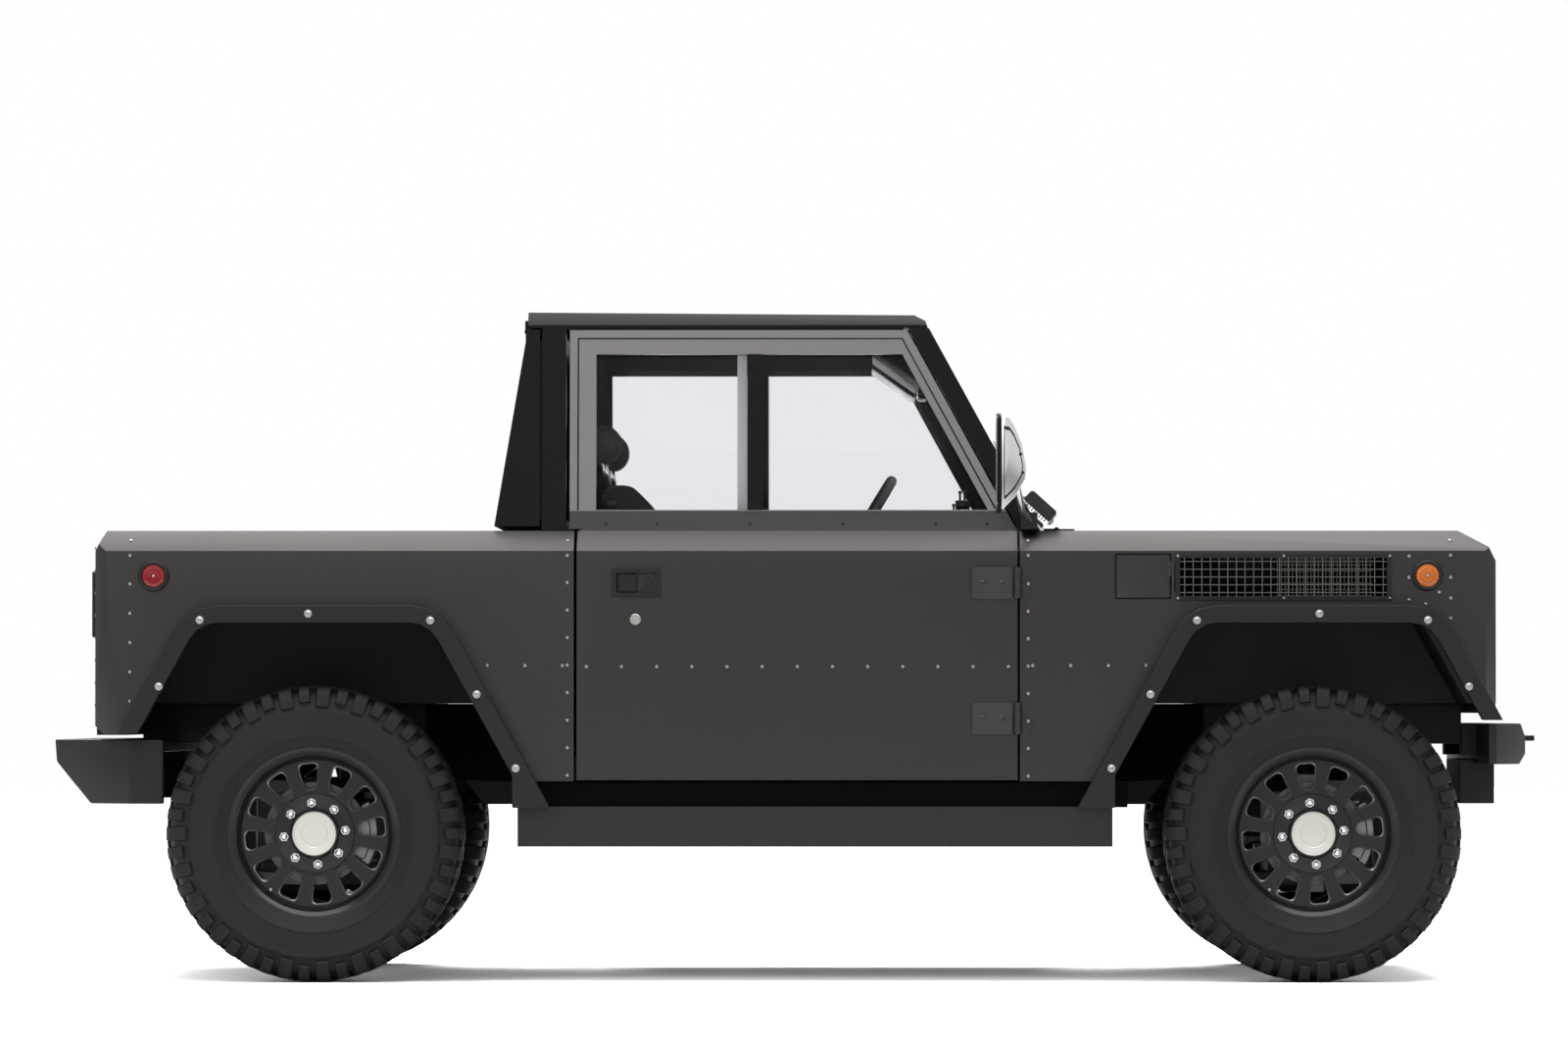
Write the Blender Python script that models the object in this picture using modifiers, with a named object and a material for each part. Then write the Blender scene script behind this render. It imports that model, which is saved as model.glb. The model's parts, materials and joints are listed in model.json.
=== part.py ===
import math

import bmesh
import bpy
from mathutils import Matrix, Vector

# An electric pickup truck with a two-door half cab, standing on its wheels.
# +X is forward, +Y is the driver's left and +Z is up, all in metres. Heights are above the
# ground. Places along X are measured from the middle of the wheelbase, and the empty named
# "truck" then centres the whole vehicle on its own length.

# Driving sizes
WHEELBASE = 2.667
TRACK = 1.625
TYRE_RADIUS = 0.397
TYRE_WIDTH = 0.285
BODY_WIDTH = 1.830
BELT_HEIGHT = 1.207
ROOF_HEIGHT = 1.795
DOOR_FRONT = 0.545
DOOR_REAR = -0.633
SCREEN_SLOPE = 0.547  # length along X that the windscreen loses for each metre of height
CAB_LEAN = 0.075  # width that each side of the cab loses for each metre of height

# Overhangs, from the axle outwards
REAR_OVERHANG = 0.5885
FRONT_OVERHANG = 0.4895
REAR_BUMPER_REACH = 0.123
FRONT_BUMPER_REACH = 0.090
TOW_HOOK_REACH = 0.050

# Walls and gaps
DOOR_WALL = 0.060
FENDER_WALL = 0.045
BED_WALL = 0.060
SHEET = 0.020
GLASS = 0.005
SEATED = 0.0003  # between pieces that rest on each other or are bolted together
CAB_SEAT_DEPTH = 0.001  # step in each bed side that the cab stands in
SHUT_LINE = 0.006  # round a door or a lid
SWING_GAP = 0.010  # behind a door, whose inner corner swings rearwards first

# Shoulder: the bright chamfer along the top of every side panel
SHOULDER_DROP = 0.055
SHOULDER_INSET = 0.060

# Wheel arches: the flare's outer edge, as lengths from the axle and heights
ARCH_TOP = 1.007
ARCH_TOP_HALF = 0.255
ARCH_RADIUS = 0.135
ARCH_BAND = 0.047
ARCH_OVERLAP = 0.022  # how far the flare covers the panel round the opening
FLARE_REACH = 0.0565
ROCKER_REACH = 0.530  # from the axle to the upright inner edge of a flare's long end
FRONT_FLARE_END = 0.700
REAR_FLARE_END = 0.664

# Heights of the lower body
ROCKER_BOTTOM = 0.362
ROCKER_TOP = 0.466
DOOR_RISE = 0.005  # door's lower edge above the frame's low rails
FENDER_RISE = 0.002
BED_BOTTOM = 0.662
NOSE_BOTTOM = 0.719

# Chassis
RAIL_SPACING = 0.720
RAIL_WIDTH = 0.070
RAIL_LOW = 0.470
RAIL_LOW_DEPTH = 0.065
RAIL_HIGH = 0.635
RAIL_HIGH_DEPTH = 0.110
PACK_LENGTH = 1.520
PACK_WIDTH = 1.500
PACK_HEIGHT = 0.098
FLOOR_SHEET = 0.028

# Derived places
FRONT_AXLE = WHEELBASE / 2
REAR_AXLE = -WHEELBASE / 2
HUB_HEIGHT = TYRE_RADIUS
SIDE = BODY_WIDTH / 2
BEYOND = SIDE + 0.2  # how far out a cutter reaches
WHEEL_CENTRE = TRACK / 2
NOSE = FRONT_AXLE + FRONT_OVERHANG
TAIL = REAR_AXLE - REAR_OVERHANG
REAR_END = TAIL - REAR_BUMPER_REACH
FRONT_END = NOSE + FRONT_BUMPER_REACH + TOW_HOOK_REACH
SHOULDER_LOW = BELT_HEIGHT - SHOULDER_DROP
CAB_SIDE = SIDE - SHOULDER_INSET
RAIL_TOP = RAIL_LOW + RAIL_LOW_DEPTH
RAIL_HIGH_TOP = RAIL_HIGH + RAIL_HIGH_DEPTH
FLOOR_LOW = RAIL_TOP + SEATED
DOOR_BOTTOM = RAIL_TOP + DOOR_RISE
FENDER_BOTTOM = RAIL_TOP + FENDER_RISE
FLOOR_TOP = FLOOR_LOW + FLOOR_SHEET
SIDES = (("left", 1), ("right", -1))

# Finishes: name -> base colour, roughness, metallic
FINISHES = {
    "body_paint": ((0.070, 0.075, 0.082), 0.38, 0.60),
    "trim_black": ((0.012, 0.012, 0.013), 0.60, 0.0),
    "frame_black": ((0.020, 0.020, 0.022), 0.55, 0.20),
    "rocker_grey": ((0.045, 0.047, 0.050), 0.50, 0.30),
    "tyre_rubber": ((0.010, 0.010, 0.010), 0.85, 0.0),
    "rim_black": ((0.018, 0.018, 0.020), 0.35, 0.50),
    "glass": ((0.55, 0.58, 0.60), 0.05, 0.0),
    "lamp_clear": ((0.80, 0.80, 0.82), 0.10, 0.0),
    "lamp_red": ((0.35, 0.01, 0.01), 0.15, 0.0),
    "cast_metal": ((0.30, 0.30, 0.31), 0.45, 0.90),
    "seat_cloth": ((0.030, 0.030, 0.033), 0.90, 0.0),
    "cabin_plastic": ((0.035, 0.035, 0.038), 0.65, 0.0),
    "bed_liner": ((0.016, 0.016, 0.017), 0.80, 0.0),
}

# How an outline's (across, up) lies in the truck, by the axis it is extruded along
LAY = {
    "x": Matrix(((0, 0, 1, 0), (1, 0, 0, 0), (0, 1, 0, 0), (0, 0, 0, 1))),
    "y": Matrix(((1, 0, 0, 0), (0, 0, -1, 0), (0, 1, 0, 0), (0, 0, 0, 1))),
    "z": Matrix.Identity(4),
}

for old in list(bpy.data.objects):
    bpy.data.objects.remove(old)

parts = bpy.data.collections.new("electric_pickup_truck")
cutters = bpy.data.collections.new("cutters")
bpy.context.scene.collection.children.link(parts)
bpy.context.scene.collection.children.link(cutters)
truck = bpy.data.objects.new("truck", None)
truck.location.x = -(REAR_END + FRONT_END) / 2
parts.objects.link(truck)


def make_finishes():
    made = {}
    for name, (colour, roughness, metallic) in FINISHES.items():
        finish = bpy.data.materials.new(name)
        finish.use_nodes = True
        surface = finish.node_tree.nodes["Principled BSDF"]
        surface.inputs["Base Color"].default_value = (*colour, 1)
        surface.inputs["Roughness"].default_value = roughness
        surface.inputs["Metallic"].default_value = metallic
        made[name] = finish
    return made


finishes = make_finishes()


def helper(form):
    # A shape that is not drawn by itself: it cuts a part, joins one or becomes one.
    mesh = bpy.data.meshes.new("shape")
    form.to_mesh(mesh)
    form.free()
    thing = bpy.data.objects.new("shape", mesh)
    thing.hide_render = True
    thing.display_type = "WIRE"
    thing.parent = truck
    cutters.objects.link(thing)
    return thing


def block(x, y, z):
    # A box between pairs of places, given in either order.
    form = bmesh.new()
    bmesh.ops.create_cube(form, size=1)
    size = Matrix.Diagonal((abs(x[1] - x[0]), abs(y[1] - y[0]), abs(z[1] - z[0]), 1))
    centre = Matrix.Translation((sum(x) / 2, sum(y) / 2, sum(z) / 2))
    form.transform(centre @ size)
    return helper(form)


def rod(start, end, radius, end_radius=None, sides=12):
    form = bmesh.new()
    run = Vector(end) - Vector(start)
    bmesh.ops.create_cone(
        form, cap_ends=True, segments=sides, radius1=radius, depth=run.length,
        radius2=radius if end_radius is None else end_radius,
    )
    turn = Vector((0, 0, 1)).rotation_difference(run).to_matrix().to_4x4()
    form.transform(Matrix.Translation((Vector(start) + Vector(end)) / 2) @ turn)
    return helper(form)


def bar(start, end, width, depth):
    # A straight bar of rectangular section, its width level and across its run.
    form = bmesh.new()
    bmesh.ops.create_cube(form, size=1)
    run = Vector(end) - Vector(start)
    across = Vector((0, 0, 1)).cross(run).normalized()
    above = run.cross(across).normalized()
    turn = Matrix((run.normalized(), across, above)).transposed().to_4x4()
    size = Matrix.Diagonal((run.length, width, depth, 1))
    form.transform(Matrix.Translation((Vector(start) + Vector(end)) / 2) @ turn @ size)
    return helper(form)


def plate(outline, along, low, high, holes=()):
    # A flat outline, with any holes, as thick as from low to high along one axis.
    curve = bpy.data.curves.new("outline", "CURVE")
    curve.dimensions = "2D"
    curve.fill_mode = "BOTH"
    curve.extrude = abs(high - low) / 2
    for points in (outline, *holes):
        spline = curve.splines.new("POLY")
        spline.points.add(len(points) - 1)
        for point, (across, up) in zip(spline.points, points):
            point.co = (across, up, 0, 1)
        spline.use_cyclic_u = True
    drawn = bpy.data.objects.new("outline", curve)
    cutters.objects.link(drawn)
    graph = bpy.context.evaluated_depsgraph_get()
    mesh = bpy.data.meshes.new_from_object(drawn.evaluated_get(graph))
    bpy.data.objects.remove(drawn)
    form = bmesh.new()
    form.from_mesh(mesh)
    bpy.data.meshes.remove(mesh)
    bmesh.ops.remove_doubles(form, verts=form.verts, dist=0.00001)
    bmesh.ops.dissolve_limit(form, angle_limit=0.0001, verts=form.verts[:], edges=form.edges[:])
    shift = Vector([(low + high) / 2 if axis == along else 0 for axis in "xyz"])
    form.transform(Matrix.Translation(shift) @ LAY[along])
    bmesh.ops.recalc_face_normals(form, faces=form.faces)
    return helper(form)


def arc(centre, radius, first, last, steps):
    # Points on a circle from one angle to another, in degrees.
    points = []
    for step in range(steps + 1):
        angle = math.radians(first + (last - first) * step / steps)
        points.append((centre[0] + radius * math.cos(angle), centre[1] + radius * math.sin(angle)))
    return points


def lean_in(thing, side, foot):
    # Leans a piece towards the middle of the truck above the height of its foot.
    lean = Matrix.Identity(4)
    lean[1][2] = -side * CAB_LEAN
    lean[1][3] = side * CAB_LEAN * foot
    thing.data.transform(lean)
    return thing


def combine(base, operation, others):
    for other in others:
        boolean = base.modifiers.new(operation.lower(), "BOOLEAN")
        boolean.operation = operation
        boolean.solver = "EXACT"
        boolean.object = other
    return base


def part(name, base, finish, add=(), cut=(), pivot=None):
    # Turns a shape into a finished part, whose origin is on its joint if it has one.
    combine(base, "UNION", add)
    combine(base, "DIFFERENCE", cut)
    for kind, others in (("add", add), ("cut", cut)):
        for index, other in enumerate(others):
            other.name = f"{name}_{kind}_{index}"
    base.name = name
    base.data.name = name
    base.data.materials.append(finishes[finish])
    base.hide_render = False
    base.display_type = "TEXTURED"
    cutters.objects.unlink(base)
    parts.objects.link(base)
    if pivot is not None:
        base.data.transform(Matrix.Translation(-Vector(pivot)))
        base.location = pivot
    return base


def mirrored(points):
    # A closed outline from its right half, listed from its top to its bottom.
    return [*points, *[(-across, up) for across, up in reversed(points)]]


# Chassis: a ladder frame that kicks up over both axles
RAIL_KICK_INSET = 0.430  # from each axle towards the middle, where the kick begins
RAIL_KICK = 0.130
RAIL_FRONT_INSET = 0.060
RAIL_REAR_INSET = 0.090
RAIL_HALF = RAIL_SPACING / 2
RAIL_OUT = RAIL_HALF + RAIL_WIDTH / 2
RAIL_IN = RAIL_HALF - RAIL_WIDTH / 2
OUTRIGGERS = (-0.640, 0.0, 0.640)  # places along X
OUTRIGGER_LENGTH = 0.090
ROCKER_OUT = SIDE - 0.015
ROCKER_WALL = 0.100
RAIL_FRONT = NOSE - RAIL_FRONT_INSET
RAIL_REAR = TAIL + RAIL_REAR_INSET


def chassis_frame():
    # The kick's ends, from the rear of the truck to its front: along X, bottom and top
    low, high = (RAIL_LOW, RAIL_TOP), (RAIL_HIGH, RAIL_HIGH_TOP)
    bends = (
        (RAIL_REAR, high),
        (REAR_AXLE + RAIL_KICK_INSET - RAIL_KICK, high),
        (REAR_AXLE + RAIL_KICK_INSET, low),
        (FRONT_AXLE - RAIL_KICK_INSET, low),
        (FRONT_AXLE - RAIL_KICK_INSET + RAIL_KICK, high),
        (RAIL_FRONT, high),
    )
    outline = [(x, level[0]) for x, level in bends] + [(x, level[1]) for x, level in reversed(bends)]
    rails = [plate(outline, "y", side * RAIL_IN, side * RAIL_OUT) for _, side in SIDES]
    joins = [rails[1]]
    # Cross members: place along X, length along X, bottom, top
    crosses = (
        (RAIL_REAR + 0.040, 0.080, RAIL_HIGH, RAIL_HIGH_TOP),
        (REAR_AXLE - 0.200, 0.060, RAIL_HIGH + 0.020, RAIL_HIGH_TOP - 0.005),
        (REAR_AXLE + 0.220, 0.060, RAIL_HIGH + 0.020, RAIL_HIGH_TOP - 0.005),
        (FRONT_AXLE - 0.220, 0.060, RAIL_HIGH + 0.020, RAIL_HIGH_TOP - 0.005),
        (FRONT_AXLE + 0.200, 0.060, RAIL_HIGH + 0.020, RAIL_HIGH_TOP - 0.005),
        (RAIL_FRONT - 0.040, 0.080, RAIL_HIGH, RAIL_HIGH_TOP),
    )
    for x, length, bottom, top in crosses:
        joins.append(block((x - length / 2, x + length / 2), (-RAIL_HALF, RAIL_HALF), (bottom, top)))
    for x in OUTRIGGERS:
        ends = (x - OUTRIGGER_LENGTH / 2, x + OUTRIGGER_LENGTH / 2)
        joins.append(block(ends, (-ROCKER_OUT + 0.020, ROCKER_OUT - 0.020), (RAIL_LOW, RAIL_TOP)))
    return part("chassis_frame", rails[0], "frame_black", add=joins)


def battery_pack():
    top = RAIL_LOW - SEATED
    half_length, half_width = PACK_LENGTH / 2, PACK_WIDTH / 2
    pack = block((-half_length, half_length), (-half_width, half_width), (top - PACK_HEIGHT, top))
    return part("battery_pack", pack, "frame_black")


# Suspension. The kingpin is the line that a front wheel steers about.
KINGPIN = 0.745
BALL_JOINT_RISE = 0.125
BALL_RADIUS = 0.018
ARM_DEPTH = 0.030
ARM_WIDTH = 0.042
CRADLE_LOW = 0.235
CRADLE_DEPTH = 0.050
CRADLE_IN = 0.270
CRADLE_OUT = 0.330
POST_OUT = 0.385
POST_INSET = 0.260
ARM_FOOT = 0.92  # share of the posts' distance from the axle
STEER_ARM = 0.130
RACK_DROP = 0.060
RACK_RADIUS = 0.011
RACK_HOUSING = 0.028
RACK_HOUSING_HALF = 0.200
UPRIGHT_OUT = WHEEL_CENTRE - 0.0275
UPRIGHT_IN = UPRIGHT_OUT - 0.020
BEARING_GAP = 0.0005
SHAFT_RADIUS = 0.016
BOOT_RADIUS = 0.040
BOOT_LENGTH = 0.070
UNIT_HALF = 0.215
UNIT_TOP = 0.515
FOOT_INSET = 0.020
FOOT_DEPTH = 0.025
FOOT_HALF = CRADLE_IN + 0.020
CRADLE_TOP = CRADLE_LOW + CRADLE_DEPTH
STRUT_FORWARD = 0.090  # ahead of the half shafts
STRUT_FOOT = (0.560, 0.280)  # across, height
STRUT_HEAD = (0.520, 0.722)
TOWER_OUT = 0.570


def drive_unit(name, axle, rear, front, shaft_end):
    # The motor and its gears are one block on feet, with a half shaft to each wheel.
    body = block((axle + rear, axle + front), (-UNIT_HALF, UNIT_HALF), (CRADLE_TOP + SEATED, UNIT_TOP))
    feet = block((axle + rear + FOOT_INSET, axle + front - FOOT_INSET), (-FOOT_HALF, FOOT_HALF),
                 (CRADLE_TOP + SEATED, CRADLE_TOP + FOOT_DEPTH))
    pieces = [feet]
    for _, side in SIDES:
        places = (0.200, shaft_end - BOOT_LENGTH, shaft_end)
        inner, middle, outer = ((axle, side * y, HUB_HEIGHT) for y in places)
        pieces.append(rod(inner, outer, SHAFT_RADIUS))
        pieces.append(rod(middle, outer, 0.026, BOOT_RADIUS))
        pieces.append(rod(inner, (axle, side * 0.290, HUB_HEIGHT), BOOT_RADIUS + 0.010, 0.026))
    return part(name, body, "cast_metal", add=pieces)


def cradle(axle):
    # The steel cradle under the drive unit, its posts up to the frame, arms and struts.
    beams = []
    for _, side in SIDES:
        beams.append(block((axle - 0.300, axle + 0.300), (side * CRADLE_IN, side * CRADLE_OUT),
                           (CRADLE_LOW, CRADLE_TOP)))
        for end in (-POST_INSET, POST_INSET):
            x = axle + end
            beams.append(block((x - 0.025, x + 0.025), (side * CRADLE_IN, side * POST_OUT),
                               (CRADLE_LOW, RAIL_HIGH - SEATED)))
            # Arms: height at the hub's ends, as a rise from the hub
            for rise, foot in ((-BALL_JOINT_RISE, CRADLE_OUT - 0.020), (BALL_JOINT_RISE, POST_OUT - 0.030)):
                height = HUB_HEIGHT + rise
                start = (axle + end * ARM_FOOT, side * foot, height)
                beams.append(bar(start, (axle, side * KINGPIN, height), ARM_WIDTH, ARM_DEPTH))
        for rise in (-BALL_JOINT_RISE, BALL_JOINT_RISE):
            height = HUB_HEIGHT + rise
            beams.append(rod((axle, side * KINGPIN, height - ARM_DEPTH / 2),
                             (axle, side * KINGPIN, height + ARM_DEPTH / 2), BALL_RADIUS))
        strut = axle + STRUT_FORWARD
        foot, head = ((strut, side * across, height) for across, height in (STRUT_FOOT, STRUT_HEAD))
        beams.append(rod(foot, head, 0.024))
        beams.append(rod([a * 0.45 + b * 0.55 for a, b in zip(foot, head)], head, 0.045))
        beams.append(block((strut - 0.060, strut + 0.060), (side * (RAIL_OUT + SEATED), side * TOWER_OUT),
                           (RAIL_HIGH_TOP - 0.045, RAIL_HIGH_TOP - 0.015)))
        beams.append(bar((axle + 0.1, side * 0.455, HUB_HEIGHT - BALL_JOINT_RISE),
                         (axle - 0.1, side * 0.455, HUB_HEIGHT - BALL_JOINT_RISE), 0.200, 0.012))
    for end in (-POST_INSET, POST_INSET):
        x = axle + end
        beams.append(block((x - 0.030, x + 0.030), (-CRADLE_OUT, CRADLE_OUT), (CRADLE_LOW, CRADLE_TOP)))
    return beams


def rear_suspension():
    beams = cradle(REAR_AXLE)
    for _, side in SIDES:
        beams.append(block((REAR_AXLE - 0.035, REAR_AXLE + 0.035), (side * UPRIGHT_IN, side * UPRIGHT_OUT),
                           (HUB_HEIGHT - 0.150, HUB_HEIGHT + 0.150)))
        for rise in (-BALL_JOINT_RISE, BALL_JOINT_RISE):
            height = HUB_HEIGHT + rise
            beams.append(block((REAR_AXLE - 0.030, REAR_AXLE + 0.030),
                               (side * (KINGPIN - 0.020), side * UPRIGHT_OUT),
                               (height - ARM_DEPTH / 2, height + ARM_DEPTH / 2)))
    return part("rear_suspension", beams[0], "frame_black", add=beams[1:])


def front_suspension():
    beams = cradle(FRONT_AXLE)
    rack_x = FRONT_AXLE - STEER_ARM
    rack_z = HUB_HEIGHT - RACK_DROP
    half = RACK_HOUSING_HALF
    beams.append(rod((rack_x, -half, rack_z), (rack_x, half, rack_z), RACK_HOUSING))
    for _, side in SIDES:
        beams.append(block((rack_x - 0.020, rack_x + 0.020), (side * (half - 0.040), side * (half + 0.120)),
                           (CRADLE_LOW + 0.010, CRADLE_TOP - 0.010)))
        beams.append(block((rack_x - 0.018, rack_x + 0.018), (side * (half - 0.035), side * (half - 0.005)),
                           (CRADLE_LOW + 0.020, rack_z - 0.005)))
    bore = rod((rack_x, -0.5, rack_z), (rack_x, 0.5, rack_z), RACK_RADIUS + 0.0012)
    return part("front_suspension", beams[0], "frame_black", add=beams[1:], cut=[bore])


def steering_rack():
    # The rack and both tie rods slide across together.
    x = FRONT_AXLE - STEER_ARM
    z = HUB_HEIGHT - RACK_DROP
    rack = rod((x, -KINGPIN, z), (x, KINGPIN, z), RACK_RADIUS)
    ends = [rod((x, side * KINGPIN, z - 0.014), (x, side * KINGPIN, z + 0.016), 0.017)
            for _, side in SIDES]
    return part("steering_rack", rack, "cast_metal", add=ends, pivot=(x, 0, z))


def knuckle(name, side):
    # An upright with an ear beyond each ball joint and an arm back to the tie rod.
    x, hub = FRONT_AXLE, HUB_HEIGHT
    ear = BALL_JOINT_RISE + ARM_DEPTH / 2 + BEARING_GAP
    upright = block((x - 0.035, x + 0.035), (side * UPRIGHT_IN, side * UPRIGHT_OUT),
                    (hub - ear - 0.018, hub + ear + 0.018))
    pieces = []
    for end in (-1, 1):
        pieces.append(block((x - 0.028, x + 0.028), (side * (KINGPIN - 0.028), side * UPRIGHT_OUT),
                            (hub + end * ear, hub + end * (ear + 0.018))))
    arm_low = hub - RACK_DROP + 0.016 + 0.0008
    arm = (arm_low, arm_low + 0.016)
    pieces.append(block((x - STEER_ARM, x + 0.020), (side * (KINGPIN - 0.004), side * UPRIGHT_OUT), arm))
    eye = (x - STEER_ARM, side * KINGPIN)
    pieces.append(rod((*eye, arm[0]), (*eye, arm[1]), 0.024))
    return part(name, upright, "cast_metal", add=pieces, pivot=(x, side * KINGPIN, hub))


# Wheels. Their profiles are (radius, place along the axle), outer face first.
WHEEL_STEPS = 28
SEAT_RADIUS = 0.216
FLANGE_RADIUS = 0.232
RIM_HALF = 0.120
DISC_FACE = 0.066
HUB_CAP_FACE = 0.108
HUB_CAP_RADIUS = 0.060
DISC_BACK = 0.045
WINDOW_INNER = 0.115
WINDOW_OUTER = 0.185
WINDOW_COUNT = 12
WINDOW_FOOT = 0.024
WINDOW_HEAD = 0.052
WINDOW_TURN = 6  # degrees


def turned(profile):
    # A closed skin made by turning a profile once round the local Z axis.
    mesh = bpy.data.meshes.new("profile")
    mesh.from_pydata([(radius, 0, along) for radius, along in profile],
                     [(i, i + 1) for i in range(len(profile) - 1)], [])
    thing = bpy.data.objects.new("profile", mesh)
    cutters.objects.link(thing)
    screw = thing.modifiers.new("turn", "SCREW")
    screw.steps = WHEEL_STEPS
    screw.render_steps = WHEEL_STEPS
    screw.use_merge_vertices = True
    screw.merge_threshold = 0.0001
    return thing


def baked(thing):
    # The shape that an object's modifiers make, as a plain mesh.
    graph = bpy.context.evaluated_depsgraph_get()
    mesh = bpy.data.meshes.new_from_object(thing.evaluated_get(graph))
    for used in [thing, *[modifier.object for modifier in thing.modifiers if modifier.type == "BOOLEAN"]]:
        bpy.data.objects.remove(used)
    mesh.shade_smooth()
    mesh.set_sharp_from_angle(angle=math.radians(30))
    return mesh


def rim_mesh():
    hub_back = UPRIGHT_OUT - WHEEL_CENTRE + BEARING_GAP
    seat, flange, half = SEAT_RADIUS, FLANGE_RADIUS, RIM_HALF
    rim = turned((
        (0, HUB_CAP_FACE), (HUB_CAP_RADIUS, HUB_CAP_FACE), (HUB_CAP_RADIUS + 0.002, DISC_FACE + 0.006),
        (seat - 0.018, DISC_FACE), (flange - 0.008, half), (flange, half), (flange, half - 0.010),
        (seat, half - 0.010), (seat - 0.020, half - 0.050), (seat - 0.020, -half + 0.050),
        (seat, -half + 0.010), (flange, -half + 0.010), (flange, -half), (seat - 0.030, -half + 0.050),
        (seat - 0.030, 0.030), (0.070, DISC_BACK), (0.070, hub_back), (0, hub_back),
    ))
    windows = []
    for index in range(WINDOW_COUNT):
        turn = Matrix.Rotation(math.radians(WINDOW_TURN + 360 * index / WINDOW_COUNT), 4, "Z")
        corners = (
            (WINDOW_INNER, -WINDOW_FOOT / 2), (WINDOW_OUTER, -WINDOW_HEAD / 2),
            (WINDOW_OUTER, WINDOW_HEAD / 2), (WINDOW_INNER, WINDOW_FOOT / 2),
        )
        window = plate(corners, "z", 0.020, 0.100)
        window.parent = None
        window.data.transform(turn)
        windows.append(window)
    return baked(combine(rim, "DIFFERENCE", windows))


def tyre_mesh():
    # A hollow carcass that opens between its beads.
    bead, lip = SEAT_RADIUS + SEATED, FLANGE_RADIUS + SEATED * 2
    wall, tread = TYRE_WIDTH / 2, TYRE_RADIUS
    inside = RIM_HALF - 0.010 - SEATED
    outer = (
        (lip, inside), (0.290, wall), (0.345, wall - 0.002), (tread - 0.018, wall - 0.016), (tread, wall - 0.036),
    )
    inner = ((tread - 0.028, wall - 0.038), (0.300, wall - 0.020), (bead, inside - 0.022))
    half = [(bead, inside), *outer]
    back = [(radius, -along) for radius, along in reversed(half)]
    lining = [*[(radius, -along) for radius, along in reversed(inner)], *inner]
    return baked(turned((*half, *back, *lining, half[0])))


def wheels():
    shapes = (("tyre", tyre_mesh(), "tyre_rubber"), ("rim", rim_mesh(), "rim_black"))
    for kind, mesh, finish in shapes:
        mesh.materials.append(finishes[finish])
        for end, axle in (("front", FRONT_AXLE), ("rear", REAR_AXLE)):
            for hand, side in SIDES:
                wheel = bpy.data.objects.new(f"{kind}_{end}_{hand}", mesh)
                wheel.parent = truck
                wheel.location = (axle, side * WHEEL_CENTRE, HUB_HEIGHT)
                wheel.rotation_euler.x = -side * math.pi / 2
                parts.objects.link(wheel)


# Body sides. A side panel is a wall with a chamfered shoulder and a ledge on top.
LEDGE = 0.055
LEDGE_DEPTH = 0.042
LEDGE_IN = CAB_SIDE - LEDGE
DOOR_PILLAR = 0.021  # how far the door's upper frame reaches behind its lower panel
DOOR_SEAM = 0.008
FENDER_REAR = DOOR_FRONT + SHUT_LINE
BED_FRONT = DOOR_REAR - DOOR_SEAM
CORNER = 0.030  # chamfer in plan at the nose and the tail
NOSE_TOP = 1.126
NOSE_BEND = (0.020, 1.163)  # back from the nose, height
HOOD_FRONT_INSET = 0.100
SLOPE_ANGLE = math.degrees(math.atan(SCREEN_SLOPE))


def side_section(side, wall, low):
    # The wall, shoulder and ledge as they are cut across the truck.
    right = (
        (SIDE, low), (SIDE, SHOULDER_LOW), (CAB_SIDE, BELT_HEIGHT), (LEDGE_IN, BELT_HEIGHT),
        (LEDGE_IN, BELT_HEIGHT - LEDGE_DEPTH), (SIDE - wall, BELT_HEIGHT - LEDGE_DEPTH - 0.035),
        (SIDE - wall, low),
    )
    return [(side * across, up) for across, up in right]


def arch_line(axle, inset, rear_low, front_low):
    # Up the rear slope, over the round shoulders and down the front slope.
    radius = ARCH_RADIUS - inset
    height = ARCH_TOP - ARCH_RADIUS
    front = arc((axle + ARCH_TOP_HALF, height), radius, 90, SLOPE_ANGLE, 3)
    rear = arc((axle - ARCH_TOP_HALF, height), radius, 180 - SLOPE_ANGLE, 90, 3)
    foot_front = (front[-1][0] + (front[-1][1] - front_low) * SCREEN_SLOPE, front_low)
    foot_rear = (rear[0][0] - (rear[0][1] - rear_low) * SCREEN_SLOPE, rear_low)
    return [foot_rear, *rear, *front, foot_front]


def side_panel(outline, side, wall, low, cuts):
    # A panel of one side: its outline seen from the side, within the section.
    panel = plate(outline, "y", side * (LEDGE_IN - 0.010), side * (SIDE + 0.010))
    long = (TAIL - 0.1, NOSE + 0.1)
    section = plate(side_section(side, wall, low), "x", *long)
    combine(panel, "INTERSECT", [section])
    return combine(panel, "DIFFERENCE", cuts)


def corner_cut(side, end, inwards):
    # A wedge that chamfers a body corner in plan; inwards is +1 at the tail and -1 at the nose.
    beyond = end - inwards * CORNER
    wedge = ((end, side * (SIDE - CORNER)), (end + inwards * CORNER, side * SIDE),
             (end + inwards * CORNER, side * (SIDE + CORNER)), (beyond, side * (SIDE + CORNER)),
             (beyond, side * (SIDE - CORNER)))
    return plate(wedge, "z", 0.4, BELT_HEIGHT + 0.1)


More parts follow.
